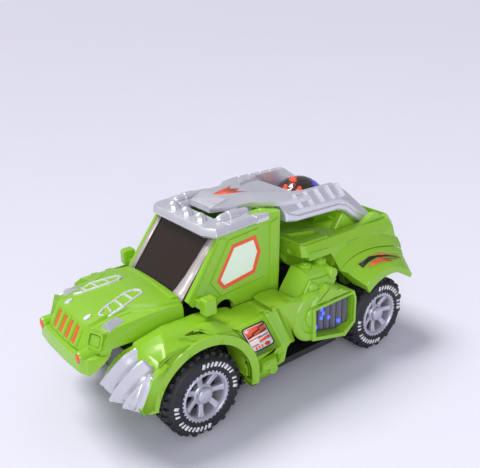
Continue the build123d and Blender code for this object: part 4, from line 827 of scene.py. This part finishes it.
def make_windshield():
    """Smoked glass with a pale painted reflection down each side and a thin dark line along it."""
    glass = Form().rings([[glass_point(t, y, lift) for t, y in ((0.0, -24.2), (0.0, 24.2), (1.0, 24.2), (1.0, -24.2))]
                          for lift in (-1.6, -0.1)])
    piece("windshield_glass", glass, "front_body", "smoke", ["windshield"], 0.3)
    # painted reflection: pale strips down each side of the glass stand for reflected light, wider on the side near
    # the camera
    reflections, border = Form(), Form()
    edges = ((1, [(0.02, 14.2), (0.14, 15.8), (0.34, 17.4), (0.64, 18.6), (0.98, 19.4)]),
             (-1, [(0.02, 20.0), (0.34, 20.3), (0.64, 20.5), (0.98, 20.6)]))
    for side, edge in edges:
        for (ta, ya), (tb, yb) in zip(edge, edge[1:]):
            reflections.rings([[glass_point(t, side * y, lift) for t, y in ((ta, 24.0), (tb, 24.0), (tb, yb), (ta, ya))]
                          for lift in (-0.4, 0.12)])
            border.bar(glass_point(ta, side * ya, -0.1), glass_point(tb, side * yb, -0.1), 0.5, 0.26,
                       up=(0.785, 0, 0.62), sink=0.1)
    piece("windshield_painted_reflections", reflections, "front_body", "painted_reflection", bevel=0)
    piece("windshield_border", border, "front_body", "ink", bevel=0)


VISOR_TILT = 3.4 / 54.0


def visor_rows(outline, stops):
    """Levels of the visor's outline: they rise a little towards the rear."""
    return [[(x, y, base + (24.0 - x) * VISOR_TILT) for x, y in shrink(outline, inset)] for base, inset in stops]


def make_visor():
    """Silver roof visor with its wings, side lamps and the three lamps in front."""
    stops = ((86.6, 1.2), (88.0, 0.0), (89.4, 0.4), (91.0, 2.0))
    form = Form().rings(visor_rows([(30.4, -21.5), (30.4, 21.5), (26.6, 27.8), (16.6, 28.0), (16.6, -28.0),
                                    (26.6, -27.8)], stops))
    sides = Form()
    sides.rings(visor_rows([(20.0, 12.9), (20.0, 28.0), (2.0, 28.0), (1.2, 20.5), (1.6, 12.9)], stops))
    # stepped rear tips
    sides.stack("z", [(3.0, 21.6), (3.0, 27.6), (-5.5, 27.0), (-7.5, 25.0), (-1.0, 21.4)],
                [(88.2, 0.0), (90.4, 0.0), (91.6, 1.0)])
    # pointed capsule lamps along the wings
    sides.rod("x", (18.6, 92.0), [(1.4, 1.6), (2.2, 2.3), (7.4, 2.5), (7.5, 2.9), (13.4, 2.9), (13.5, 2.5),
                                  (17.0, 2.2), (19.0, 1.5), (20.0, 0.6)], 28)
    form.join(sides.both())
    piece("visor_moulding", form, "front_body", "silver", ["roof_visor"], 0.45)
    lamps = Form()
    for y in (-11.4, 0.0, 11.4):
        lamps.rod("z", (24.2, y), [(89.4, 3.6), (91.6, 3.6), (92.6, 3.2), (93.8, 2.3), (94.6, 1.1), (95.0, 0.2)], 10)
    piece("visor_lamps", lamps, "front_body", "silver", bevel=0.15, angle=20)


# ---------------------------------------------------------------- rear tub and fenders
# z, rear x, front x, half width
TUB_LEVELS = [(55.0, -94.5, -26.0, 34.0), (60.0, -96.5, -22.0, 35.8), (66.0, -95.0, -21.8, 35.0),
              (71.2, -92.0, -21.6, 33.4)]
# lines along the rear fender as (x, z), from the front backwards
FLARE_TOP = [(-42.4, 58.3), (-49.7, 61.6), (-58.2, 63.0), (-67.0, 62.9), (-76.2, 61.8), (-86.6, 59.3), (-95.2, 54.4)]
FLARE_LOW = [(-44.4, 53.7), (-50.1, 57.5), (-58.5, 59.6), (-67.4, 59.7), (-76.6, 58.4), (-88.3, 55.5), (-94.5, 52.1)]
FENDER_TOP = [(-49.3, 50.4), (-53.3, 53.6), (-59.2, 55.9), (-68.1, 56.5), (-77.4, 54.9), (-88.1, 51.8), (-93.6, 48.9)]
FENDER_CREST = [(-56.4, 43.4), (-58.6, 46.6), (-64.4, 49.0), (-71.9, 49.7), (-79.5, 48.8), (-88.6, 44.7),
                (-94.4, 39.9)]
FENDER_LIP = [(-58.6, 39.0), (-62.4, 41.6), (-67.4, 43.8), (-73.6, 44.9), (-80.5, 44.4), (-87.2, 41.2), (-93.6, 37.2)]


def tub_rows():
    """The tub's levels, with small corners in front and larger ones at the rear."""
    near, far = 2, 5.0
    return [[(rear + far, -half, z), (front - near, -half, z), (front, -half + near, z), (front, half - near, z),
             (front - near, half, z), (rear + far, half, z), (rear, half - far, z), (rear, -half + far, z)]
            for z, rear, front, half in TUB_LEVELS]


def make_tub():
    """Rear tub with its flared shelves, pocket and neck towers."""
    form = Form().rings(tub_rows())
    sides = Form()
    # the rear wall's raised shoulder behind the arm
    sides.rings([[(x, y, z) for x, z in ((-64.0, 70.0), (-77.0, 75.6), (-80.2, 75.2), (-91.4, 68.4), (-91.4, 66.0),
                                         (-64.0, 66.0))] for y in (28.6, 31.8)])
    # flared shelf over the rear fender
    sides.rings([[(ax, 30.0, az + 3.4), (ax, 34.8, az + 3.2), (ax, 37.2, az), (bx, 38.6, bz), (bx, 30.0, bz)]
                 for (ax, az), (bx, bz) in zip(smooth_line(FLARE_TOP), smooth_line(FLARE_LOW))])
    # raised front rim, with the facet beside the pocket
    sides.stack("z", [(-21.8, 3.0), (-21.8, 31.8), (-25.2, 32.2), (-41.0, 32.4), (-45.0, 28.0), (-42.0, 21.6),
                      (-28.0, 15.6)], [(68.0, 0.0), (71.5, 0.0), (72.2, 0.7)])
    # raised lines along the wall
    for a, b, z0, z1 in ((-25.8, -38.5, 66.8, 66.3), (-52.3, -61.4, 65.6, 65.6), (-77.6, -84.2, 65.0, 64.4)):
        sides.bar((a, 34.6, z0), (b, 34.6, z1), 0.8, 0.9, up=(0, 1, 0.2))
    # ears on the body hinge
    sides.stack("y", [(-78.0, 56.5), (-62.0, 56.5), (-65.5, 35.0), (-74.5, 35.0)], [(18.4, 0.0), (21.2, 0.0)])
    sides.rod("y", BODY_HINGE, [(18.4, 4.5), (21.2, 4.5)], 32)
    form.join(sides.both())
    pocket = Form().stack("z", [(-91, -27.4), (-91, 27.4), (-54, 27.4), (-46, 18.0), (-24.8, 9.0), (-24.8, -9.0),
                                (-46, -18.0), (-54, -27.4)], [(57.0, 0.0), (80.0, 0.0)])
    facets, thigh_room = Form(), Form()
    for side in (-1, 1):
        facets.rings([[(x, side * y, z) for x, y in ((-25.4, 16.4), (-41.0, 21.6), (-41.0, 27.0), (-27.0, 27.6))]
                      for z in (70.6, 90.0)])
        oval = [(side * 25.2 + 3.4 * u, 66.2 + 1.9 * v) for u, v in arc((0, 0), 1, 0, 345, 24)]
        facets.stack("x", oval, [(-23.2, 0.0), (-10.0, 0.0)])
        thigh_room.stack("y", [(-42.2, 50), (-42.2, 60.4), (-40.4, 63.2), (-20, 63.2), (-20, 50)],
                         [(side * 29.6, 0.0), (side * 50.0, 0.0)])
        thigh_room.stack("x", [(side * 16.9, 62.8), (side * 34.4, 65.4), (side * 40, 65.4), (side * 40, 50),
                               (side * 16.9, 50)], [(-25.2, 0.0), (-15.0, 0.0)])
    pin = Form().rod("y", BODY_HINGE, [(-30.0, 1.6), (30.0, 1.6)], 24)
    piece("tub_moulding", form, "rear_body", "green", ["rear_tub"], 0.45, [pocket, facets, thigh_room, pin])

    # braces beside the neck, with three raised lines, and the neck's towers and pins
    braces = Form()
    braces.stack("y", [(-48.6, 66.0), (-50.4, 68.6), (-57.6, 78.4), (-59.6, 78.6), (-72.4, 66.6), (-72.4, 57.0),
                       (-48.6, 57.0)], [(22.6, 0.0), (25.6, 0.0), (26.4, 0.8)])
    for x, top in ((-55.2, 72.0), (-59.0, 75.0), (-62.8, 72.4)):
        braces.bar((x, 26.2, 66.8), (x, 26.2, top), 0.9, 0.6, up=(0, 1, 0))
    braces.stack("y", [(-89.4, 57.0), (-75.6, 57.0), (-78.8, 70.4), (-86.2, 70.4)], [(13.6, 0.0), (17.6, 0.0)])
    braces.rod("y", NECK_PIN, [(15.0, 2.0), (25.0, 2.0)], 28)
    braces.both()
    braces.block((-93.0, -27.6, 55.4), (-50.0, 27.6, 57.6))
    piece("tub_braces", braces, "rear_body", "green", bevel=0.4)


def along(line, u, fine=24):
    """A place on the curve through a line's points, u counted in points from its start."""
    return smooth_line(line, fine)[round(u * fine)]


def flank(u, t, lift):
    """A place on the rear fender's slanted side: u along it, t from its top line down to its crest."""
    (ax, az), (bx, bz) = along(FENDER_TOP, u), along(FENDER_CREST, u)
    return (ax + (bx - ax) * t, 40.6 + 6.2 * t + lift * 0.7, az + (bz - az) * t + lift * 0.7)


def make_rear_fenders():
    """Rear fenders: a smooth skin from the shelf over the crest and under the lip, to the wheel arch."""
    rows = []
    lines = [smooth_line(line) for line in (FLARE_LOW, FENDER_TOP, FENDER_CREST, FENDER_LIP)]
    for (ax, az), (bx, bz), (cx, cz), (dx, dz) in zip(*lines):
        reach = max(1.0, 25.2 / hypot(dx + 73.0, dz - 21.4))
        ux, uz = -73.0 + (dx + 73.0) * reach, 21.4 + (dz - 21.4) * reach
        rows.append([(ax, 36.6, az - 0.4), (ax, 38.7, az - 0.5), (bx, 40.6, bz + 0.7), (bx, 40.6, bz), (cx, 46.8, cz),
                     (cx, 47.4, cz - 0.6), (dx, 47.4, dz), (dx, 45.9, dz), (ux, 45.9, uz), (ux, 36.6, uz)])
    pair("rear_fender_moulding", Form().rings(rows), "rear_body", "green", ["{}_rear_fender"], 0.45)


# ---------------------------------------------------------------- spine and dome
WEDGE_EDGE = [(16.8, 8.6, 94.0), (5.5, 13.0, 94.2), (-4.6, 15.0, 94.3), (-15.5, 23.5, 94.0), (-25.0, 26.0, 93.8),
              (-34.0, 26.0, 93.8)]
WEDGE_TOP = [(8.2, 9.4, 97.2), (5.0, 9.6, 97.2), (-6.0, 9.4, 97.1), (-17.0, 12.5, 95.8), (-26.0, 14.5, 95.0),
             (-34.0, 15.0, 94.8)]
ARM_TOP = [(-16.0, 91.5), (-24.0, 94.8), (-56.0, 94.6), (-64.0, 88.8), (-84.6, 71.2), (-87.4, 66.8)]
ARM_LOW = [(-17.0, 84.0), (-24.0, 82.6), (-54.0, 81.8), (-59.0, 80.0), (-79.0, 64.6), (-83.5, 63.4)]
DOME_X = -50.0


def wedge_z(x):
    """The height of the wedge's top at x."""
    for (ax, _, az), (bx, _, bz) in zip(WEDGE_TOP, WEDGE_TOP[1:]):
        if x >= bx:
            return az + (bz - az) * min(1.0, (ax - x) / (ax - bx))
    return WEDGE_TOP[-1][2]


def make_spine():
    """Silver neck: wedge, two arms with fins, the emblem, and the dome with its lights."""
    nose = [(16.2, 8.0, 91.6), WEDGE_EDGE[0], (16.2, 8.0, 94.5)]
    rows = [nose] + [[(x - 0.6, y - 0.6, 91.6), (x, y, z), top] for (x, y, z), top in zip(WEDGE_EDGE, WEDGE_TOP)]
    form = Form().rings([row + [(x, -y, z) for x, y, z in reversed(row)] for row in rows])
    arms = Form()
    rows = []
    for (tx, tz), (bx, bz) in zip(ARM_TOP, ARM_LOW):
        mx, mz = tx + (bx - tx) * 0.5, tz + (bz - tz) * 0.5
        rows.append([(bx, 18.2, bz), (bx, 26.2, bz), (mx, 26.2, mz), (tx, 22.6, tz), (tx, 18.2, tz)])
    arms.rings(rows)
    fins = Form()
    for x in (-25.4, -33.0, -40.6, -48.2, -55.6):
        fins.bar((x, 21.8, 95.3), (x - 2.6, 26.3, 88.4), 1.1, 1.7, up=(0, 0.87, 0.49), sink=0.8, narrow=0.6)
    # rail along the lower edge, and the rounded lobe at the neck pivot
    arms.stack("y", [(-17.0, 84.2), (-17.0, 88.8), (-25.0, 85.8), (-54.6, 85.2), (-60.6, 83.0), (-80.6, 67.2),
                     (-79.0, 64.8), (-59.0, 80.2), (-54.0, 82.0), (-24.0, 82.8)],
               [(22.0, 0.0), (26.4, 0.0), (27.0, 0.6)])
    arms.rod("y", (-83.0, 67.4), [(18.4, 4.3), (26.0, 4.3), (26.9, 3.4)], 36)
    form.join(arms.both())
    form.block((-68, -18.4, 82.6), (-31, 18.4, 84.0))
    form.block((-34, -18.4, 82.6), (-31, 18.4, 92.0))
    for side in (-1, 1):
        form.stack("y", [(-11, 92.4), (-2, 92.4), (-3.3, 82.0), (-9.7, 82.0)], [(side * 5.2, 0.0), (side * 7.6, 0.0)])
        form.rod("y", HEAD_PIVOT, [(side * 5.2, 3.2), (side * 7.6, 3.2)], 28)
    dish = Form().rings([[(x, -w, z), (x, w, z), (x, w, 110.0), (x, -w, 110.0)] for x, w, z in
                         ((-11.0, 2.0, 96.6), (-17.0, 10.0, 94.9), (-25.0, 15.0, 93.4), (-36.0, 17.4, 92.5))])
    seat = Form().rod("z", (DOME_X, 0.0), [(80.0, 9.0), (90.0, 9.0)], 40)
    pin = Form().rod("y", NECK_PIN, [(-26.0, 2.1), (26.0, 2.1)], 28)
    piece("spine_moulding", form, "spine", "silver", ["spine_frame"], 0.4, [dish, seat, pin])

    # the fins take the lighter silver as painted highlight, so they stand out from the arms
    piece("spine_fins", fins.both(), "spine", "bright", bevel=0.12)

    mark = Form()
    half = [(7.2, 0.5), (5.6, 1.7), (-1.5, 4.2), (-8.2, 6.8), (-4.2, 2.6), (-7.6, 0.9)]
    whole = half + [(x, -y) for x, y in reversed(half)]
    mark.rings([[(x, y, wedge_z(x) + lift) for x, y in whole] for lift in (-0.3, 0.15)])
    piece("spine_emblem", mark, "spine", "orange", bevel=0)

    # dome in flat facets
    dome = Form()
    steps, radius, start = 18, 16.0, 18.5
    rows = []
    for k in range(7):
        e = radians(start + (84 - start) * k / 6)
        turn = (k % 2) * 0.5
        rows.append([(DOME_X + radius * cos(e) * cos(tau * (n + turn) / steps),
                      radius * cos(e) * sin(tau * (n + turn) / steps), 79.0 + radius * sin(e)) for n in range(steps)])
    dome.rings(rows)
    made = piece("dome_faceted", dome, "spine", "dome", ["dome"], 0)
    for polygon in made.data.polygons:
        polygon.use_smooth = False
    for finish, nodes, spots in (("red_glow", ["dome_lights"], ((4.0, 5.0), (7.0, -2.0), (-3.0, -6.0))),
                                 ("blue_glow", (), ((-6.0, 6.5), (-8.0, 0.5)))):
        led = Form()
        for x, y in spots:
            led.rod("z", (DOME_X + x, y), [(84.2, 1.1), (89.2, 1.1), (90.2, 0.8), (90.6, 0.3)], 20)
        piece(f"dome_{finish}_leds", led, "spine", finish, nodes, bevel=0.2)
    base = Form().rod("z", (DOME_X, 0), [(84.0, 13.4), (85.0, 13.0)], 40)
    piece("dome_reflector", base, "spine", "black", bevel=0.2)


# ---------------------------------------------------------------- head and jaw
def make_head():
    """Dinosaur head and jaw, stored in the cab until the neck rises."""
    def shaped(profile, plan):
        """A profile in X and Z, narrowed in Y to a plan line."""
        def half(x):
            for (ax, ay), (bx, by) in zip(plan, plan[1:]):
                if x <= bx:
                    return ay + (by - ay) * (x - ax) / (bx - ax)
            return plan[-1][1]

        return [[(x, half(x) * share, z) for x, z in shrink(profile, inset)]
                for share, inset in ((-1, 0.9), (-0.72, 0.0), (0.72, 0.0), (1, 0.9))]

    skull = [(-12.6, 74), (-11.5, 77.2), (-3, 78.2), (2, 80.4), (6, 80.0), (11, 78.2), (15.6, 76.0), (16.0, 73.6),
             (13, 72.0), (-1.0, 72.0), (-3, 67), (-8.6, 66), (-12.6, 69)]
    form = Form().rings(shaped(skull, [(-13, 9.4), (0, 9.4), (16.2, 5.4)]))
    brow = Form()
    brow.rings([[(x, y, z) for x, z in ((-2.0, 77.4), (6.8, 77.6), (5.6, 80.0), (0.4, 79.6))] for y in (6.4, 9.0)])
    brow.bar((12.4, 3.6, 77.2), (14.6, 3.0, 76.2), 1.8, 0.7)
    form.join(brow.both())
    form.stack("y", [(-9.7, 82.0), (-3.3, 82.0), (-2.6, 77.0), (-10.4, 77.0)], [(-4.8, 0.0), (4.8, 0.0)])
    form.rod("y", HEAD_PIVOT, [(-4.8, 3.2), (4.8, 3.2)], 28)
    mouth = Form().stack("y", [(-14, 71.6), (-1.2, 71.6), (-1.2, 60), (-14, 60)], [(-6.6, 0.0), (6.6, 0.0)])
    neck_pin = Form().rod("y", HEAD_PIVOT, [(-10.0, 1.6), (10.0, 1.6)], 24)
    jaw_pin = Form().rod("y", JAW_PIVOT, [(-20.0, 1.3), (20.0, 1.3)], 24)
    piece("head_moulding", form, "head", "green", ["head"], 0.4, [mouth, neck_pin, jaw_pin])
    eyes = Form()
    eyes.rings([[(x, y, z) for x, z in ((0.2, 75.4), (5.6, 75.2), (6.4, 77.0), (1.0, 77.0))] for y in (7.2, 8.7)])
    eyes.both()
    piece("head_eyes", eyes, "head", "orange", bevel=0.2)

    cheek = [(-8, 6.2, 70.4), (13.0, 4.2, 71.0), (13.6, 4.2, 69.4), (6, 5.2, 66.4), (-4, 6.0, 65.0),
             (-8.2, 6.2, 67.6)]
    jaw = Form().rings([[(x, y * side, z) for x, y, z in cheek] for side in (-1, 1)])
    jaw.rod("y", JAW_PIVOT, [(-9.0, 1.2), (9.0, 1.2)], 24)
    piece("jaw_moulding", jaw, "jaw", "green", ["jaw"], 0.5)
    teeth = Form()
    for k in range(6):
        x = 1.6 + 2.0 * k
        y = 4.6 - 0.12 * k
        teeth.rings([[(x + u, y + v, z) for u, v in ((-0.7 * s, -0.5 * s), (0.7 * s, -0.5 * s), (0.7 * s, 0.5 * s),
                                                     (-0.7 * s, 0.5 * s))] for z, s in ((70.2, 1.0), (71.9, 0.15))])
    teeth.both()
    piece("jaw_teeth", teeth, "jaw", "paper", bevel=0)


# ---------------------------------------------------------------- stickers
def make_stickers():
    """Printed stickers: plain bars and zigzags on the legs, plain streaks on the rear fenders."""
    rear_top, front_top, front_low, rear_low = (14.7, 48.9), (28.6, 48.5), (21.0, 33.1), (7.4, 33.9)
    panel_y, thick = 46.3, 0.12

    def spot(u, v, lift):
        """A place on the side sticker: u to the front, v upwards, both from 0 to 1."""
        low = [rear_low[k] + (front_low[k] - rear_low[k]) * u for k in (0, 1)]
        high = [rear_top[k] + (front_top[k] - rear_top[k]) * u for k in (0, 1)]
        x, z = (low[k] + (high[k] - low[k]) * v for k in (0, 1))
        return (x, panel_y + lift, z)

    def disc(u, v, wide, tall):
        return [(u + wide * c, v + tall * d) for c, d in arc((0, 0), 1, 0, 337, 16)]

    # name, finish, height of its back, outlines
    layers = (
        ("ink", "ink", 0.02, [rounded((0, 0), (1, 1), 0.12)]),
        ("paper", "paper", 0.1, [rounded((0.05, 0.05), (0.95, 0.95), 0.09)]),
        ("orange", "orange", 0.18, [
            [(0.07, 0.56), (0.93, 0.62), (0.93, 0.93), (0.07, 0.93)],
            [(0.07, 0.46), (0.62, 0.50), (0.62, 0.53), (0.07, 0.51)],
            [(0.45, 0.27), (0.93, 0.32), (0.93, 0.44), (0.45, 0.38)],
            [(0.10, 0.22), (0.36, 0.22), (0.36, 0.27), (0.10, 0.27)],
            *[[(u, 0.08), (u + 0.07, 0.08), (u + 0.09, 0.19), (u + 0.02, 0.19)] for u in (0.16, 0.29, 0.42)],
        ]),
        ("red", "red", 0.18, [disc(0.70, 0.14, 0.12, 0.075)]),
        ("black_lines", "ink", 0.26, [
            [(0.93, 0.93), (0.60, 0.84), (0.66, 0.80), (0.30, 0.72), (0.36, 0.68), (0.07, 0.60), (0.07, 0.56),
             (0.40, 0.64), (0.34, 0.68), (0.72, 0.77), (0.66, 0.81), (0.93, 0.88)],
            [(0.93, 0.72), (0.62, 0.64), (0.66, 0.61), (0.93, 0.68)],
            [(0.45, 0.44), (0.93, 0.50), (0.93, 0.53), (0.45, 0.47)],
        ]),
        ("white_dot", "paper", 0.26, [disc(0.17, 0.86, 0.07, 0.06)]),
    )
    for name, finish, back, outlines in layers:
        form = Form()
        for outline in outlines:
            form.rings([[spot(1 - u, v, lift) for u, v in outline] for lift in (back, back + thick)])
        pair(f"side_sticker_{name}", form, "chassis", finish, bevel=0)

    # streaks on the rear fenders
    streaks = {
        "ink": [[(1.4, 0.04), (2.6, 0.03), (3.8, 0.12), (5.1, 0.36), (4.2, 0.30), (3.0, 0.24), (2.2, 0.28),
                 (1.45, 0.34)]],
        "orange": [
            [(2.6, 0.03), (3.6, 0.04), (4.9, 0.26), (3.9, 0.17), (3.3, 0.14), (3.7, 0.09)],
            [(1.8, 0.52), (2.5, 0.36), (3.2, 0.31), (4.6, 0.46), (3.6, 0.45), (4.1, 0.62), (2.9, 0.56)],
        ],
    }
    for name, shapes in streaks.items():
        form = Form()
        above = 0.12 if name == "orange" else 0.0
        for outline in shapes:
            form.rings([[flank(u, t, lift + above) for u, t in outline] for lift in (-0.2, 0.5)])
        pair(f"streak_{name}", form, "rear_body", name, bevel=0)


# ---------------------------------------------------------------- studio
def make_studio():
    """A pale floor, soft air, a broad key light and a small fill."""
    reach = 15.0
    mesh = bpy.data.meshes.new("studio_floor")
    corners = [(-reach, -reach, 0), (reach, -reach, 0), (reach, reach, 0), (-reach, reach, 0)]
    mesh.from_pydata(corners, [], [(0, 1, 2, 3)])
    floor = bpy.data.objects.new("studio_floor", mesh)
    bpy.context.scene.collection.objects.link(floor)
    mesh.materials.append(make_finish("pale_floor", (0.76, 0.75, 0.86), 0.7, vary=0.012, patch=3.0, grain=300.0,
                                      bump=0.01))
    world = bpy.data.worlds.new("studio_air")
    world.use_nodes = True
    air = world.node_tree.nodes["Background"]
    air.inputs["Color"].default_value = (0.88, 0.89, 1.0, 1)
    air.inputs["Strength"].default_value = 0.38
    bpy.context.scene.world = world
    bpy.context.scene.view_settings.view_transform = "Standard"

    def lamp(name, kind, place_at, power, colour):
        data = bpy.data.lights.new(name, kind)
        data.energy, data.color = power, colour
        made = bpy.data.objects.new(name, data)
        made.location = place_at
        made.rotation_euler = (Vector((0, 0, 0.04)) - Vector(place_at)).to_track_quat("-Z", "Y").to_euler()
        bpy.context.scene.collection.objects.link(made)
        return data

    lamp("key", "SUN", (0.30, -0.50, 1.10), 2.25, (1.0, 0.99, 0.97)).angle = radians(26)
    lamp("fill", "AREA", (0.70, 0.95, 0.62), 8.0, (0.98, 0.99, 1.0)).size = 0.8


def make_camera():
    """The photographer's place: to the front left of the car and above it, with a very slight roll."""
    look = Vector((-0.5685, -0.734, -0.3715)).normalized()
    roll = -0.02145
    right = look.cross(Vector((0, 0, 1))).normalized()
    up = right.cross(look)
    right_rolled = right * cos(roll) + up * sin(roll)
    up_rolled = -right * sin(roll) + up * cos(roll)
    data = bpy.data.cameras.new("photo_view")
    data.lens, data.sensor_width, data.sensor_fit = 47.9, 36.0, "HORIZONTAL"
    camera = bpy.data.objects.new("photo_view", data)
    turn = Matrix((right_rolled, up_rolled, -look)).transposed().to_4x4()
    camera.matrix_world = Matrix.Translation((0.1826, 0.2466, 0.1967)) @ turn
    bpy.context.scene.collection.objects.link(camera)
    bpy.context.scene.camera = camera


make_wheels()
make_fenders()
make_claws()
make_thighs()
make_hood()
make_cab()
make_windshield()
make_visor()
make_tub()
make_rear_fenders()
make_spine()
make_head()
make_stickers()
make_studio()
make_camera()
